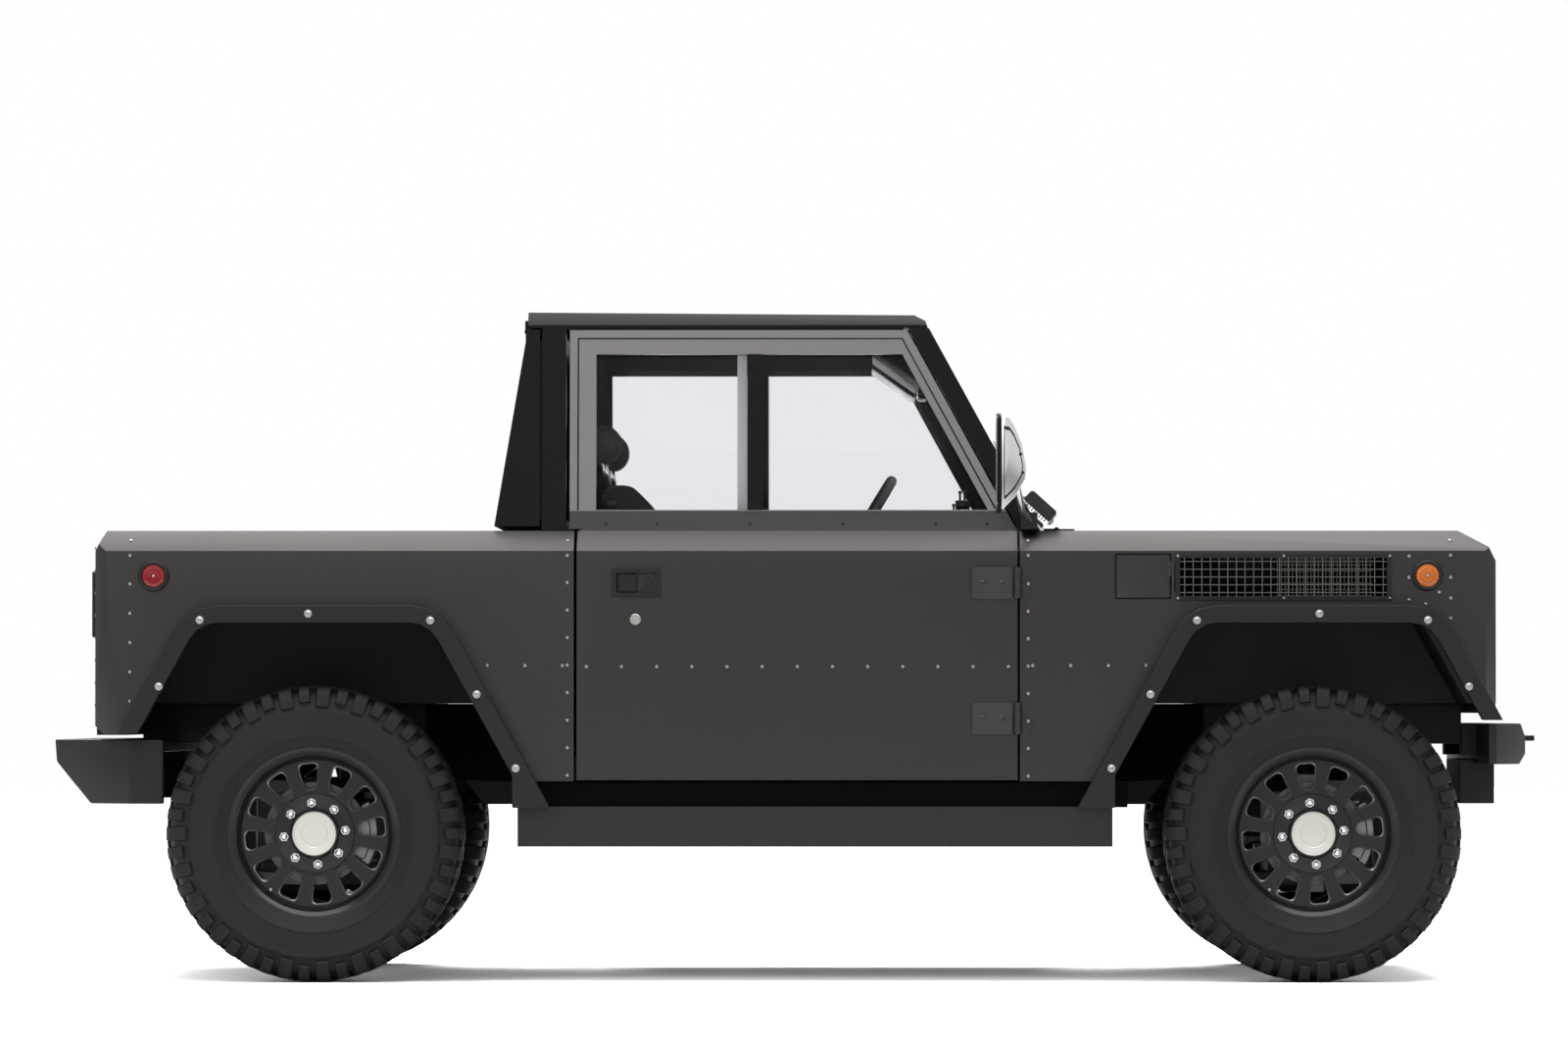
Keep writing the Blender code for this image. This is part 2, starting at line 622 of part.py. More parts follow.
# Hinge barrels: a pin line with one barrel on each of the two pieces that it joins
BARREL_RADIUS = 0.011
BARREL_GAP = 0.0004
DOOR_HINGES = ((0.663, 0.746), (1.026, 1.107))
DOOR_PIN_OUT = 0.013
DOOR_LEAF = 0.122
FENDER_LEAF = 0.030
CHARGE_REAR = 0.805
CHARGE_FRONT = 0.955
CHARGE_LOW = 1.023
CHARGE_TOP = 1.145
CHARGE_DEPTH = 0.030
CHARGE_THICK = 0.018
CHARGE_GAP = 0.004
CHARGE_PIN_OUT = 0.006
CHARGE_PIN_AHEAD = 0.0045
GRILLE_INSET = 0.367  # behind the front axle
GRILLE_LENGTH = 0.576
GRILLE_LOW = 1.019
GRILLE_HEIGHT = 0.1255
GRILLE_FRAME = 0.012
GRILLE_PROUD = 0.006


def door_hinges(side, on_door):
    # Barrel and leaf of each hinge: the door has the upper half and the fender the lower.
    shapes = []
    pin = (DOOR_FRONT, side * (SIDE + DOOR_PIN_OUT))
    for low, top in DOOR_HINGES:
        middle = (low + top) / 2
        ends = (middle + BARREL_GAP / 2, top) if on_door else (low, middle - BARREL_GAP / 2)
        run = (DOOR_FRONT - DOOR_LEAF, DOOR_FRONT) if on_door else (DOOR_FRONT, FENDER_REAR + FENDER_LEAF)
        shapes.append(rod((*pin, ends[0]), (*pin, ends[1]), BARREL_RADIUS))
        shapes.append(block(run, (side * (SIDE - 0.004), side * (SIDE + 0.007)), ends))
    return shapes


def charge_hinge(on_door):
    middle = (CHARGE_LOW + CHARGE_TOP) / 2
    x, y = CHARGE_FRONT + CHARGE_PIN_AHEAD, -(SIDE + CHARGE_PIN_OUT)
    ends = (middle + BARREL_GAP / 2, middle + 0.040) if on_door else (middle - 0.040, middle - BARREL_GAP / 2)
    barrel = rod((x, y, ends[0]), (x, y, ends[1]), 0.005)
    if not on_door:
        return [barrel, block((x, x + 0.004), (-(SIDE - 0.002), y), ends)]
    edge = CHARGE_FRONT - CHARGE_GAP
    pad = block((x - 0.030, edge - 0.001), (-(SIDE - 0.004), y + 0.001), ends)
    return [barrel, pad, block((edge - 0.010, x), (-(SIDE + 0.001), y), ends)]


def fender(hand, side):
    nose = [(NOSE, NOSE_TOP), (NOSE - NOSE_BEND[0], NOSE_BEND[1]), (NOSE - HOOD_FRONT_INSET, BELT_HEIGHT)]
    outline = [
        (FENDER_REAR, FENDER_BOTTOM), (FRONT_AXLE, FENDER_BOTTOM), (FRONT_AXLE, NOSE_BOTTOM),
        (NOSE - 0.046, NOSE_BOTTOM), (NOSE, NOSE_BOTTOM + 0.029), *nose, (FENDER_REAR, BELT_HEIGHT),
    ]
    through = (side * 0.5, side * BEYOND)
    cuts = [plate(arch_line(FRONT_AXLE, ARCH_OVERLAP, 0.3, 0.3), "y", *through), corner_cut(side, NOSE, -1)]
    rear = FRONT_AXLE - GRILLE_INSET
    cuts.append(block((rear + GRILLE_FRAME, rear + GRILLE_LENGTH - GRILLE_FRAME), through,
                      (GRILLE_LOW + GRILLE_FRAME, GRILLE_LOW + GRILLE_HEIGHT - GRILLE_FRAME)))
    hinges = door_hinges(side, on_door=False)
    if side < 0:
        cuts.append(block((CHARGE_REAR, CHARGE_FRONT), (-(SIDE - CHARGE_DEPTH), -BEYOND),
                          (CHARGE_LOW, CHARGE_TOP)))
        hinges += charge_hinge(on_door=False)
    panel = side_panel(outline, side, FENDER_WALL, FENDER_BOTTOM, cuts)
    return part(f"fender_{hand}", panel, "body_paint", add=hinges)


def charge_door():
    gap = CHARGE_GAP
    slab = block((CHARGE_REAR + gap, CHARGE_FRONT - gap), (-SIDE, -(SIDE - CHARGE_THICK)),
                 (CHARGE_LOW + gap, CHARGE_TOP - gap))
    pin = (CHARGE_FRONT + CHARGE_PIN_AHEAD, -(SIDE + CHARGE_PIN_OUT), (CHARGE_LOW + CHARGE_TOP) / 2)
    return part("charge_door", slab, "body_paint", add=charge_hinge(on_door=True), pivot=pin)


TAIL_TOP_BACK = 0.029
TAIL_FOOT = 0.026
POST_IN = 0.690
POST_LENGTH = 0.075
LAMP_IN, LAMP_OUT, LAMP_LOW, LAMP_TOP = 0.740, 0.860, 0.930, 1.090
LAMP_DEPTH = 0.022
LAMP_PROUD = 0.008


def bedside(hand, side):
    outline = [
        (BED_FRONT, FENDER_BOTTOM), (REAR_AXLE, FENDER_BOTTOM), (REAR_AXLE, BED_BOTTOM),
        (TAIL + TAIL_FOOT, BED_BOTTOM), (TAIL, BED_BOTTOM + 0.023), (TAIL, SHOULDER_LOW),
        (TAIL + TAIL_TOP_BACK, BELT_HEIGHT), (BED_FRONT, BELT_HEIGHT),
    ]
    seat_step = block((RIDGE - 0.0005, BED_FRONT + 0.010), (side * (LEDGE_IN - 0.020), side * BEYOND),
                      (BELT_HEIGHT - CAB_SEAT_DEPTH, BELT_HEIGHT + 0.020))
    cuts = [plate(arch_line(REAR_AXLE, ARCH_OVERLAP, 0.3, 0.3), "y", side * 0.5, side * BEYOND),
            corner_cut(side, TAIL, 1), seat_step]
    panel = side_panel(outline, side, BED_WALL, FENDER_BOTTOM, cuts)
    post = block((TAIL + 0.0005, TAIL + POST_LENGTH), (side * POST_IN, side * (SIDE - 0.050)),
                 (BED_BOTTOM + 0.110, SHOULDER_LOW - 0.005))
    combine(panel, "UNION", [post])
    recess = block((TAIL - 0.050, TAIL + LAMP_DEPTH), (side * LAMP_IN, side * LAMP_OUT), (LAMP_LOW, LAMP_TOP))
    return part(f"bedside_{hand}", panel, "body_paint", cut=[recess])


def tail_lamp(hand, side):
    lens = block((TAIL - LAMP_PROUD, TAIL + LAMP_DEPTH - SEATED),
                 (side * (LAMP_IN + SEATED), side * (LAMP_OUT - SEATED)), (LAMP_LOW + SEATED, LAMP_TOP - SEATED))
    return part(f"tail_lamp_{hand}", lens, "lamp_red")


def flare(name, axle, forward, short_low, side):
    # forward is +1 where the long end that meets the rocker is ahead of the axle
    ends = (short_low, ROCKER_TOP) if forward > 0 else (ROCKER_TOP, short_low)
    outer = arch_line(axle, 0, *ends)
    inner = arch_line(axle, ARCH_BAND, *ends)
    knee = inner[-2] if forward > 0 else inner[1]
    reach = axle + forward * ROCKER_REACH
    bend = (reach, knee[1] - (ROCKER_REACH - abs(knee[0] - axle)) / SCREEN_SLOPE)
    foot = (reach, ROCKER_TOP)
    inner = [*inner[:-1], bend, foot] if forward > 0 else [foot, bend, *inner[1:]]
    band = plate([*outer, *reversed(inner)], "y", side * (SIDE + SEATED), side * (SIDE + FLARE_REACH))
    return part(name, band, "trim_black")


def side_grille(hand, side):
    rear = FRONT_AXLE - GRILLE_INSET
    front, top = rear + GRILLE_LENGTH, GRILLE_LOW + GRILLE_HEIGHT
    frame = block((rear, front), (side * (SIDE + SEATED), side * (SIDE + GRILLE_PROUD)), (GRILLE_LOW, top))
    edge = GRILLE_FRAME + SEATED
    insert = block((rear + edge, front - edge), (side * (SIDE - 0.010), side * (SIDE + 0.003)),
                   (GRILLE_LOW + edge, top - edge))
    holes = []
    count, bar_width = 6, 0.006
    start, end = rear + GRILLE_FRAME + 0.006, front - GRILLE_FRAME - 0.006
    pitch = (end - start + bar_width) / count
    for index in range(count):
        hole = start + index * pitch
        holes.append(block((hole, hole + pitch - bar_width), (side * 0.85, side * 1.0),
                           (GRILLE_LOW + 0.018, top - 0.018)))
    return part(f"side_grille_{hand}", frame, "trim_black", add=[insert], cut=holes)


# Doors
WINDOW_LOW = 1.263
WINDOW_TOP = 1.681
WINDOW_REAR_INSET = 0.071
WINDOW_FRONT_BAR = 0.048
WINDOW_POST = (-0.175, -0.138)
DOOR_TOP = 1.746
FRAME_THICK = 0.038
FRAME_LIFT = 0.005  # under the frame where it reaches over the bed side
TAPER_START = 0.069  # inwards from the door's skin
TAPER_DEPTH = 0.0075
HANDLE_REAR, HANDLE_FRONT, HANDLE_LOW, HANDLE_TOP = -0.527, -0.420, 1.039, 1.094
HANDLE_DEPTH = 0.022


def screen_line(start, height):
    # The place along X, at a height, of a line that leans back as the windscreen does.
    return start - SCREEN_SLOPE * (height - BELT_HEIGHT)


def door_windows(margin):
    rear = DOOR_REAR - DOOR_PILLAR + WINDOW_REAR_INSET - margin
    low, top = WINDOW_LOW - margin, WINDOW_TOP + margin
    front = DOOR_FRONT - WINDOW_FRONT_BAR + margin
    return rear, low, top, front


def door(hand, side):
    outline = [(DOOR_REAR, DOOR_BOTTOM), (DOOR_FRONT - 0.0005, DOOR_BOTTOM),
               (DOOR_FRONT - 0.0005, BELT_HEIGHT), (DOOR_REAR, BELT_HEIGHT)]
    recess = block((HANDLE_REAR, HANDLE_FRONT), (side * (SIDE - HANDLE_DEPTH), side * BEYOND),
                   (HANDLE_LOW, HANDLE_TOP))
    # The inner rear edge tapers, so that it swings clear of the bed side.
    taper = plate([(DOOR_REAR - 0.010, side * (SIDE - TAPER_START)), (DOOR_REAR, side * (SIDE - TAPER_START)),
                   (DOOR_REAR + TAPER_DEPTH, side * (LEDGE_IN - 0.015)),
                   (DOOR_REAR - 0.010, side * (LEDGE_IN - 0.015))], "z", DOOR_BOTTOM - 0.010, BELT_HEIGHT + 0.010)
    panel = side_panel(outline, side, DOOR_WALL, DOOR_BOTTOM, [recess, taper])
    low = BELT_HEIGHT - 0.020
    over = BELT_HEIGHT + FRAME_LIFT
    foot = DOOR_REAR + TAPER_DEPTH
    rear = DOOR_REAR - DOOR_PILLAR
    edge = [(rear, over), (rear, DOOR_TOP), (screen_line(DOOR_FRONT, DOOR_TOP), DOOR_TOP),
            (DOOR_FRONT - 0.001, BELT_HEIGHT), (DOOR_FRONT - 0.001, low), (foot, low), (foot, over)]
    rear, low, top, front = door_windows(0)
    panes = (
        ((rear, low), (rear, top), (WINDOW_POST[0], top), (WINDOW_POST[0], low)),
        ((WINDOW_POST[1], low), (WINDOW_POST[1], top), (screen_line(front, top), top),
         (screen_line(front, low), low)),
    )
    frame = plate(edge, "y", side * (CAB_SIDE - FRAME_THICK), side * CAB_SIDE, panes)
    lean_in(frame, side, BELT_HEIGHT)
    pin = (DOOR_FRONT, side * (SIDE + DOOR_PIN_OUT), DOOR_BOTTOM)
    return part(f"door_{hand}", panel, "body_paint", add=[frame, *door_hinges(side, on_door=True)], pivot=pin)


def door_glass(hand, side):
    rear, low, top, front = door_windows(0.015)
    outline = [(rear, low), (rear, top), (screen_line(front, top), top), (screen_line(front, low), low)]
    inner = CAB_SIDE - FRAME_THICK - SEATED
    pane = plate(outline, "y", side * inner, side * (inner - GLASS))
    lean_in(pane, side, BELT_HEIGHT)
    pin = (DOOR_FRONT, side * (SIDE + DOOR_PIN_OUT), DOOR_BOTTOM)
    return part(f"door_glass_{hand}", pane, "glass", pivot=pin)


# Cab, seen from the side: the ridge is the upright joint ahead of the rear hatch.
ROOF_LOW = 1.752
ROOF_FRONT = 0.300
ROOF_FRONT_HEIGHT = 1.783
ROOF_REAR = -0.767
ROOF_CHAMFER = 0.034
RIDGE = -0.729
HATCH_BASE = -0.858
HATCH_LOW = 1.219
HATCH_GAP = 0.005
HATCH_WINDOW = (0.620, 1.290, 1.680)  # half width, bottom, top
SCREEN_FRONT = 0.607
SCREEN_DEPTH = 0.056
SCREEN_LOW = 1.262
SCREEN_TOP = 1.712
SCREEN_INSET = 0.066
COWL_DEPTH = 0.040
COWL_FRONT = 0.652
COWL_HALF = LEDGE_IN - 0.006
PILLAR_WALL = 0.040
BULKHEAD = (-0.760, -0.735)
DOOR_CLEAR = 0.005
CAB_FLOOR_HALF = SIDE - DOOR_WALL - DOOR_CLEAR
SILL_WIDTH = 0.050
SILL_RISE = 0.040
FIREWALL = (FENDER_REAR, FENDER_REAR + SHEET)
TUB_HALF = SIDE - FENDER_WALL - SEATED
HINGE_RADIUS = 0.008


def cab_half(height):
    # Half the width of the cab at a height.
    return CAB_SIDE - CAB_LEAN * (height - BELT_HEIGHT)


def cab_floor():
    ends = (BULKHEAD[0], FIREWALL[0] - SEATED)
    floor = block(ends, (-CAB_FLOOR_HALF, CAB_FLOOR_HALF), (FLOOR_LOW, FLOOR_TOP))
    joins = [block(BULKHEAD, (-CAB_FLOOR_HALF, CAB_FLOOR_HALF), (FLOOR_LOW, BELT_HEIGHT - LEDGE_DEPTH - 0.040)),
             block(BULKHEAD, (-LEDGE_IN + 0.001, LEDGE_IN - 0.001), (FLOOR_TOP, BELT_HEIGHT - SEATED))]
    for _, side in SIDES:
        across = (side * (CAB_FLOOR_HALF - SILL_WIDTH), side * CAB_FLOOR_HALF)
        joins.append(block(ends, across, (FLOOR_LOW, FLOOR_TOP + SILL_RISE)))
    return part("cab_floor", floor, "cabin_plastic", add=joins)


def cab_top():
    # Roof, the pillars behind the doors and the frame that the rear hatch closes on.
    rear_z = ROOF_HEIGHT
    outline = [(ROOF_REAR, ROOF_LOW), (ROOF_REAR, rear_z), (ROOF_FRONT - 0.030, ROOF_FRONT_HEIGHT + 0.004),
               (ROOF_FRONT, ROOF_FRONT_HEIGHT - 0.012), (ROOF_FRONT + 0.006, ROOF_LOW)]
    roof = plate(outline, "y", -BEYOND, BEYOND)
    low, edge = cab_half(ROOF_LOW), cab_half(ROOF_LOW + 0.008)
    section = plate(mirrored([(edge - ROOF_CHAMFER, ROOF_HEIGHT + 0.01), (edge - ROOF_CHAMFER, ROOF_HEIGHT),
                              (edge, ROOF_LOW + 0.008), (low, ROOF_LOW - 0.01)]), "x", -1, 1)
    combine(roof, "INTERSECT", [section])
    joins = []
    pillar_front = DOOR_REAR - DOOR_PILLAR - SWING_GAP
    for _, side in SIDES:
        pillar = block((RIDGE, pillar_front), (side * (CAB_SIDE - PILLAR_WALL), side * (CAB_SIDE - 0.0005)),
                       (BELT_HEIGHT - CAB_SEAT_DEPTH + SEATED, ROOF_LOW + 0.006))
        joins.append(lean_in(pillar, side, BELT_HEIGHT))
    base = (BELT_HEIGHT + SEATED, BELT_HEIGHT + 0.050)
    joins.append(block((RIDGE + 0.001, BULKHEAD[1] + 0.040), (-CAB_SIDE + 0.020, CAB_SIDE - 0.020), base))
    joins.append(block((RIDGE + 0.002, RIDGE + 0.045), (-0.790, 0.790), (ROOF_LOW - 0.045, ROOF_LOW + 0.010)))
    joins += hatch_hinges(on_hatch=False)
    return part("cab_top", roof, "body_paint", add=joins)


HATCH_PIN = (ROOF_REAR - 0.011, ROOF_LOW)
HATCH_HINGES = (-0.520, 0.520)


def hatch_line(height):
    # The sloping rear face of the hatch, from its base to the roof's rear edge.
    share = (height - BELT_HEIGHT) / (ROOF_LOW - BELT_HEIGHT)
    return HATCH_BASE + (ROOF_REAR - HATCH_BASE) * share


def barrels(middle, on_lid, radius):
    # Where a lid's barrel and the fixed one beside it lie along a hinge's pin.
    length = 5 * radius
    return (middle + BARREL_GAP, middle + length) if on_lid else (middle - length, middle)


def hatch_hinges(on_hatch):
    x, z = HATCH_PIN
    shapes = []
    for middle in HATCH_HINGES:
        across = barrels(middle, on_hatch, HINGE_RADIUS)
        shapes.append(rod((x, across[0], z), (x, across[1], z), HINGE_RADIUS))
        level = (z - 0.060, z - 0.001) if on_hatch else (z + 0.002, z + 0.030)
        shapes.append(block((x - 0.006, x + 0.016), across, level))
    return shapes


def rear_hatch():
    top = ROOF_LOW - HATCH_GAP
    front = RIDGE - HATCH_GAP
    outline = [(front, HATCH_LOW), (front, top), (hatch_line(top), top), (hatch_line(HATCH_LOW), HATCH_LOW)]
    shell = plate(outline, "y", -BEYOND, BEYOND)
    half = [(cab_half(ROOF_LOW), ROOF_LOW), (CAB_SIDE, BELT_HEIGHT)]
    combine(shell, "INTERSECT", [plate(mirrored(half), "x", -1.1, -0.5)])
    across, low, high = HATCH_WINDOW
    window = block((-1, -0.5), (-across, across), (low, high))
    pin = (HATCH_PIN[0], 0, HATCH_PIN[1])
    return part("rear_hatch", shell, "body_paint", add=hatch_hinges(on_hatch=True), cut=[window], pivot=pin)


def rear_hatch_glass():
    across, low, high = HATCH_WINDOW
    across, low, high = across - SEATED, low + SEATED, high - SEATED
    outer = [(hatch_line(z) + 0.004, z) for z in (low, high)]
    inner = [(hatch_line(z) + 0.004 + GLASS, z) for z in (high, low)]
    pane = plate([*outer, *inner], "y", -across, across)
    return part("rear_hatch_glass", pane, "glass", pivot=(HATCH_PIN[0], 0, HATCH_PIN[1]))


def screen_half(height, inset):
    return cab_half(height) - inset


def leaning_back(thing):
    # Leans an upright plate back by the windscreen's slope, from the belt line.
    lean = Matrix.Identity(4)
    lean[0][2] = -SCREEN_SLOPE
    lean[0][3] = SCREEN_SLOPE * BELT_HEIGHT
    thing.data.transform(lean)
    return thing


def windshield_frame():
    low, top = BELT_HEIGHT - COWL_DEPTH, ROOF_LOW - SEATED
    edge = [(cab_half(top), top), (cab_half(BELT_HEIGHT) - 0.002, BELT_HEIGHT + SEATED),
            (COWL_HALF, BELT_HEIGHT + SEATED + 0.002), (COWL_HALF, low)]
    hole = mirrored([(screen_half(SCREEN_TOP, SCREEN_INSET), SCREEN_TOP),
                     (screen_half(SCREEN_LOW, SCREEN_INSET), SCREEN_LOW)])
    frame = plate(mirrored(edge), "x", SCREEN_FRONT - SCREEN_DEPTH, SCREEN_FRONT, [hole])
    leaning_back(frame)
    inner = COWL_HALF - 0.002
    cowl = block((SCREEN_FRONT - 0.020, COWL_FRONT), (-inner, inner), (low + 0.001, BELT_HEIGHT - 0.002))
    return part("windshield_frame", frame, "frame_black", add=[cowl, *hood_hinges(on_hood=False)])


def windshield_glass():
    low, top = SCREEN_LOW + SEATED, SCREEN_TOP - SEATED
    inset = SCREEN_INSET + SEATED
    edge = mirrored([(screen_half(top, inset), top), (screen_half(low, inset), low)])
    front = SCREEN_FRONT - 0.008
    pane = leaning_back(plate(edge, "x", front - GLASS, front))
    return part("windshield_glass", pane, "glass")


# Nose
HOOD_THICK = 0.025
HOOD_PIN = (COWL_FRONT + 0.004, BELT_HEIGHT + 0.007)
HOOD_HINGES = (-0.550, 0.550)
TUB_WALL = 0.415
TUB_FLOOR = RAIL_HIGH_TOP + SEATED
TUB_TOP = BELT_HEIGHT - HOOD_THICK - 0.006
ARCH_SHELF = 0.990
NOSE_WALL = 0.045
HEADLAMP_IN, HEADLAMP_OUT, HEADLAMP_LOW, HEADLAMP_TOP = 0.560, 0.790, 1.005, 1.080
HEADLAMP_DEPTH = 0.035
HEADLAMP_PROUD = 0.010


def hood_hinges(on_hood):
    x, z = HOOD_PIN
    shapes = []
    for middle in HOOD_HINGES:
        across = barrels(middle, on_hood, HINGE_RADIUS)
        shapes.append(rod((x, across[0], z), (x, across[1], z), HINGE_RADIUS))
        run = (x, x + 0.050) if on_hood else (x - 0.035, x)
        shapes.append(block(run, across, (BELT_HEIGHT - 0.004, z + 0.004)))
    return shapes


def hood():
    ends = (COWL_FRONT + SHUT_LINE + 0.004, NOSE - HOOD_FRONT_INSET - SHUT_LINE)
    half = LEDGE_IN - SHUT_LINE
    panel = block(ends, (-half, half), (BELT_HEIGHT - HOOD_THICK, BELT_HEIGHT))
    pin = (HOOD_PIN[0], 0, HOOD_PIN[1])
    return part("hood", panel, "body_paint", add=hood_hinges(on_hood=True), pivot=pin)


def wheel_house(axle, side, across, rear, front, low):
    # An arched cover over a wheel, open below: reaches behind and ahead of the axle, at its foot.
    top = ARCH_SHELF + SHEET
    slope = 0.150
    outer = [(axle - rear, low), (axle - rear + slope, top), (axle + front - slope, top), (axle + front, low)]
    hollow = [(axle - rear + SHEET, low - 0.010), (axle - rear + slope + SHEET * 0.6, ARCH_SHELF),
              (axle + front - slope - SHEET * 0.6, ARCH_SHELF), (axle + front - SHEET, low - 0.010)]
    cover = plate(outer, "y", side * across[0], side * across[1])
    space = plate(hollow, "y", side * (across[0] + SHEET + 0.001), side * BEYOND)
    return cover, space


def front_tub():
    # The front boot, the covers over the front wheels and the bulkhead ahead of the cab.
    wall_top = BELT_HEIGHT - COWL_DEPTH - SHEET - SEATED
    front = NOSE - NOSE_WALL - SEATED
    firewall = block(FIREWALL, (-TUB_HALF, TUB_HALF), (FLOOR_LOW, BELT_HEIGHT - LEDGE_DEPTH - 0.040))
    joins = [block((FIREWALL[0], COWL_FRONT), (-COWL_HALF, COWL_HALF), (wall_top, wall_top + SHEET)),
             block(FIREWALL, (-COWL_HALF, COWL_HALF), (FLOOR_TOP, wall_top + 0.001)),
             block((FIREWALL[0], front), (-TUB_WALL, TUB_WALL), (TUB_FLOOR, TUB_FLOOR + SHEET)),
             block((front - SHEET, front), (-TUB_HALF, TUB_HALF), (TUB_FLOOR, NOSE_BEND[1] - 0.060))]
    spaces = []
    for _, side in SIDES:
        wall = block((COWL_FRONT + 0.001, NOSE - HOOD_FRONT_INSET - 0.004),
                     (side * TUB_WALL, side * (TUB_WALL + SHEET)), (TUB_FLOOR, TUB_TOP))
        foot = block((FIREWALL[0], front), (side * TUB_WALL, side * (TUB_WALL + SHEET)), (TUB_FLOOR, ARCH_SHELF))
        cover, space = wheel_house(FRONT_AXLE, side, (TUB_WALL - 0.002, TUB_HALF), 0.600, 0.440, TUB_FLOOR + 0.001)
        joins += [wall, foot, cover]
        spaces.append(space)
    rear = FRONT_AXLE - GRILLE_INSET
    spaces.append(block((rear + GRILLE_LENGTH * 0.46, rear + GRILLE_LENGTH * 0.92), (-0.5, 0.5),
                        (GRILLE_LOW, TUB_TOP + 0.050)))
    return part("front_tub", firewall, "trim_black", add=joins, cut=spaces)


def front_panel():
    back = NOSE - NOSE_WALL
    outline = [
        (back, NOSE_BOTTOM), (NOSE - 0.006, NOSE_BOTTOM), (NOSE, NOSE_BOTTOM + 0.010), (NOSE, NOSE_TOP),
        (NOSE - NOSE_BEND[0], NOSE_BEND[1]), (NOSE - HOOD_FRONT_INSET, BELT_HEIGHT),
        (NOSE - HOOD_FRONT_INSET, BELT_HEIGHT - HOOD_THICK), (back, NOSE_BEND[1] - 0.010),
    ]
    panel = plate(outline, "y", -BEYOND, BEYOND)
    ledge = BELT_HEIGHT - LEDGE_DEPTH
    edge = [(LEDGE_IN - SEATED, BELT_HEIGHT + 0.01), (LEDGE_IN - SEATED, ledge - 0.002),
            (TUB_HALF, ledge - 0.038), (TUB_HALF, NOSE_BOTTOM - 0.01)]
    combine(panel, "INTERSECT", [plate(mirrored(edge), "x", NOSE - 0.3, NOSE + 0.1)])
    holes = [block((NOSE - HEADLAMP_DEPTH, NOSE + 0.1), (side * HEADLAMP_IN, side * HEADLAMP_OUT),
                   (HEADLAMP_LOW, HEADLAMP_TOP)) for _, side in SIDES]
    return part("front_panel", panel, "body_paint", cut=holes)


def headlamp(hand, side):
    lamp = block((NOSE - HEADLAMP_DEPTH + SEATED, NOSE + HEADLAMP_PROUD),
                 (side * (HEADLAMP_IN + SEATED), side * (HEADLAMP_OUT - SEATED)),
                 (HEADLAMP_LOW + SEATED, HEADLAMP_TOP - SEATED))
    return part(f"headlamp_{hand}", lamp, "lamp_clear")


# Load bed
GATE_GAP = 0.006
GATE_THICK = 0.055
GATE_LOW = 0.712
GATE_TOP = 1.190
GATE_PIN = (TAIL - 0.005, 0.704)
GATE_HINGES = (-0.450, 0.450)
GATE_SILL_LOW = 0.660
GATE_SILL_TOP = 0.698
BED_HALF = SIDE - BED_WALL - SEATED
BED_FLOOR = RAIL_HIGH_TOP + SEATED
BED_WALL_FRONT = (-0.862, -0.842)
BED_HOUSE_IN = 0.625


def gate_hinges(on_gate):
    x, z = GATE_PIN
    shapes = []
    for middle in GATE_HINGES:
        across = barrels(middle, on_gate, HINGE_RADIUS)
        shapes.append(rod((x, across[0], z), (x, across[1], z), HINGE_RADIUS))
        level = (z + 0.001, z + 0.050) if on_gate else (GATE_SILL_LOW + 0.004, z - 0.001)
        shapes.append(block((x - 0.006, TAIL + 0.020), across, level))
    return shapes


def tailgate():
    half = POST_IN - GATE_GAP
    gate = block((TAIL, TAIL + GATE_THICK), (-half, half), (GATE_LOW, GATE_TOP))
    pin = (GATE_PIN[0], 0, GATE_PIN[1])
    return part("tailgate", gate, "body_paint", add=gate_hinges(on_gate=True), pivot=pin)


def bed_tub():
    rear = TAIL + GATE_THICK + GATE_GAP
    floor = block((BED_WALL_FRONT[1], rear), (-BED_HALF, BED_HALF), (BED_FLOOR, BED_FLOOR + SHEET))
    ledge = LEDGE_IN - 0.001
    joins = [
        block(BED_WALL_FRONT, (-BED_HALF, BED_HALF), (BED_FLOOR, BELT_HEIGHT - LEDGE_DEPTH - 0.040)),
        block(BED_WALL_FRONT, (-ledge, ledge), (BED_FLOOR, BELT_HEIGHT - 0.001)),
        block((BED_WALL_FRONT[0], BULKHEAD[0] - SEATED), (-ledge, ledge), (BELT_HEIGHT - SHEET, BELT_HEIGHT)),
        block((rear, rear + SHEET), (-BED_HALF, BED_HALF), (GATE_SILL_LOW, BED_FLOOR + SHEET)),
        block((TAIL + 0.002, rear + SHEET), (-BED_HALF, BED_HALF), (GATE_SILL_LOW, GATE_SILL_TOP)),
        *gate_hinges(on_gate=False),
    ]
    spaces = []
    for _, side in SIDES:
        cover, space = wheel_house(REAR_AXLE, side, (BED_HOUSE_IN, BED_HALF), 0.500, 0.500, BED_FLOOR)
        hole = block((REAR_AXLE - 0.470, REAR_AXLE + 0.470), (side * (BED_HOUSE_IN + 0.035), side * BEYOND),
                     (BED_FLOOR - 0.030, BED_FLOOR + 0.015))
        joins.append(cover)
        spaces += [space, hole]
    return part("bed_tub", floor, "bed_liner", add=joins, cut=spaces)


# Lower body
ROCKER_REAR = REAR_AXLE + ROCKER_REACH + 0.012
ROCKER_FRONT = FRONT_AXLE - ROCKER_REACH - 0.005
BUMPER_LOW, BUMPER_CREASE, BUMPER_TOP = 0.582, 0.625, 0.691
BUMPER_HALF = 0.860
REAR_BUMPER_LOW, REAR_BUMPER_CREASE, REAR_BUMPER_TOP = 0.476, 0.588, 0.648
REAR_BUMPER_FRONT = TAIL + 0.182
REAR_BUMPER_HALF = 0.885
HOOK_SPACING = 0.720


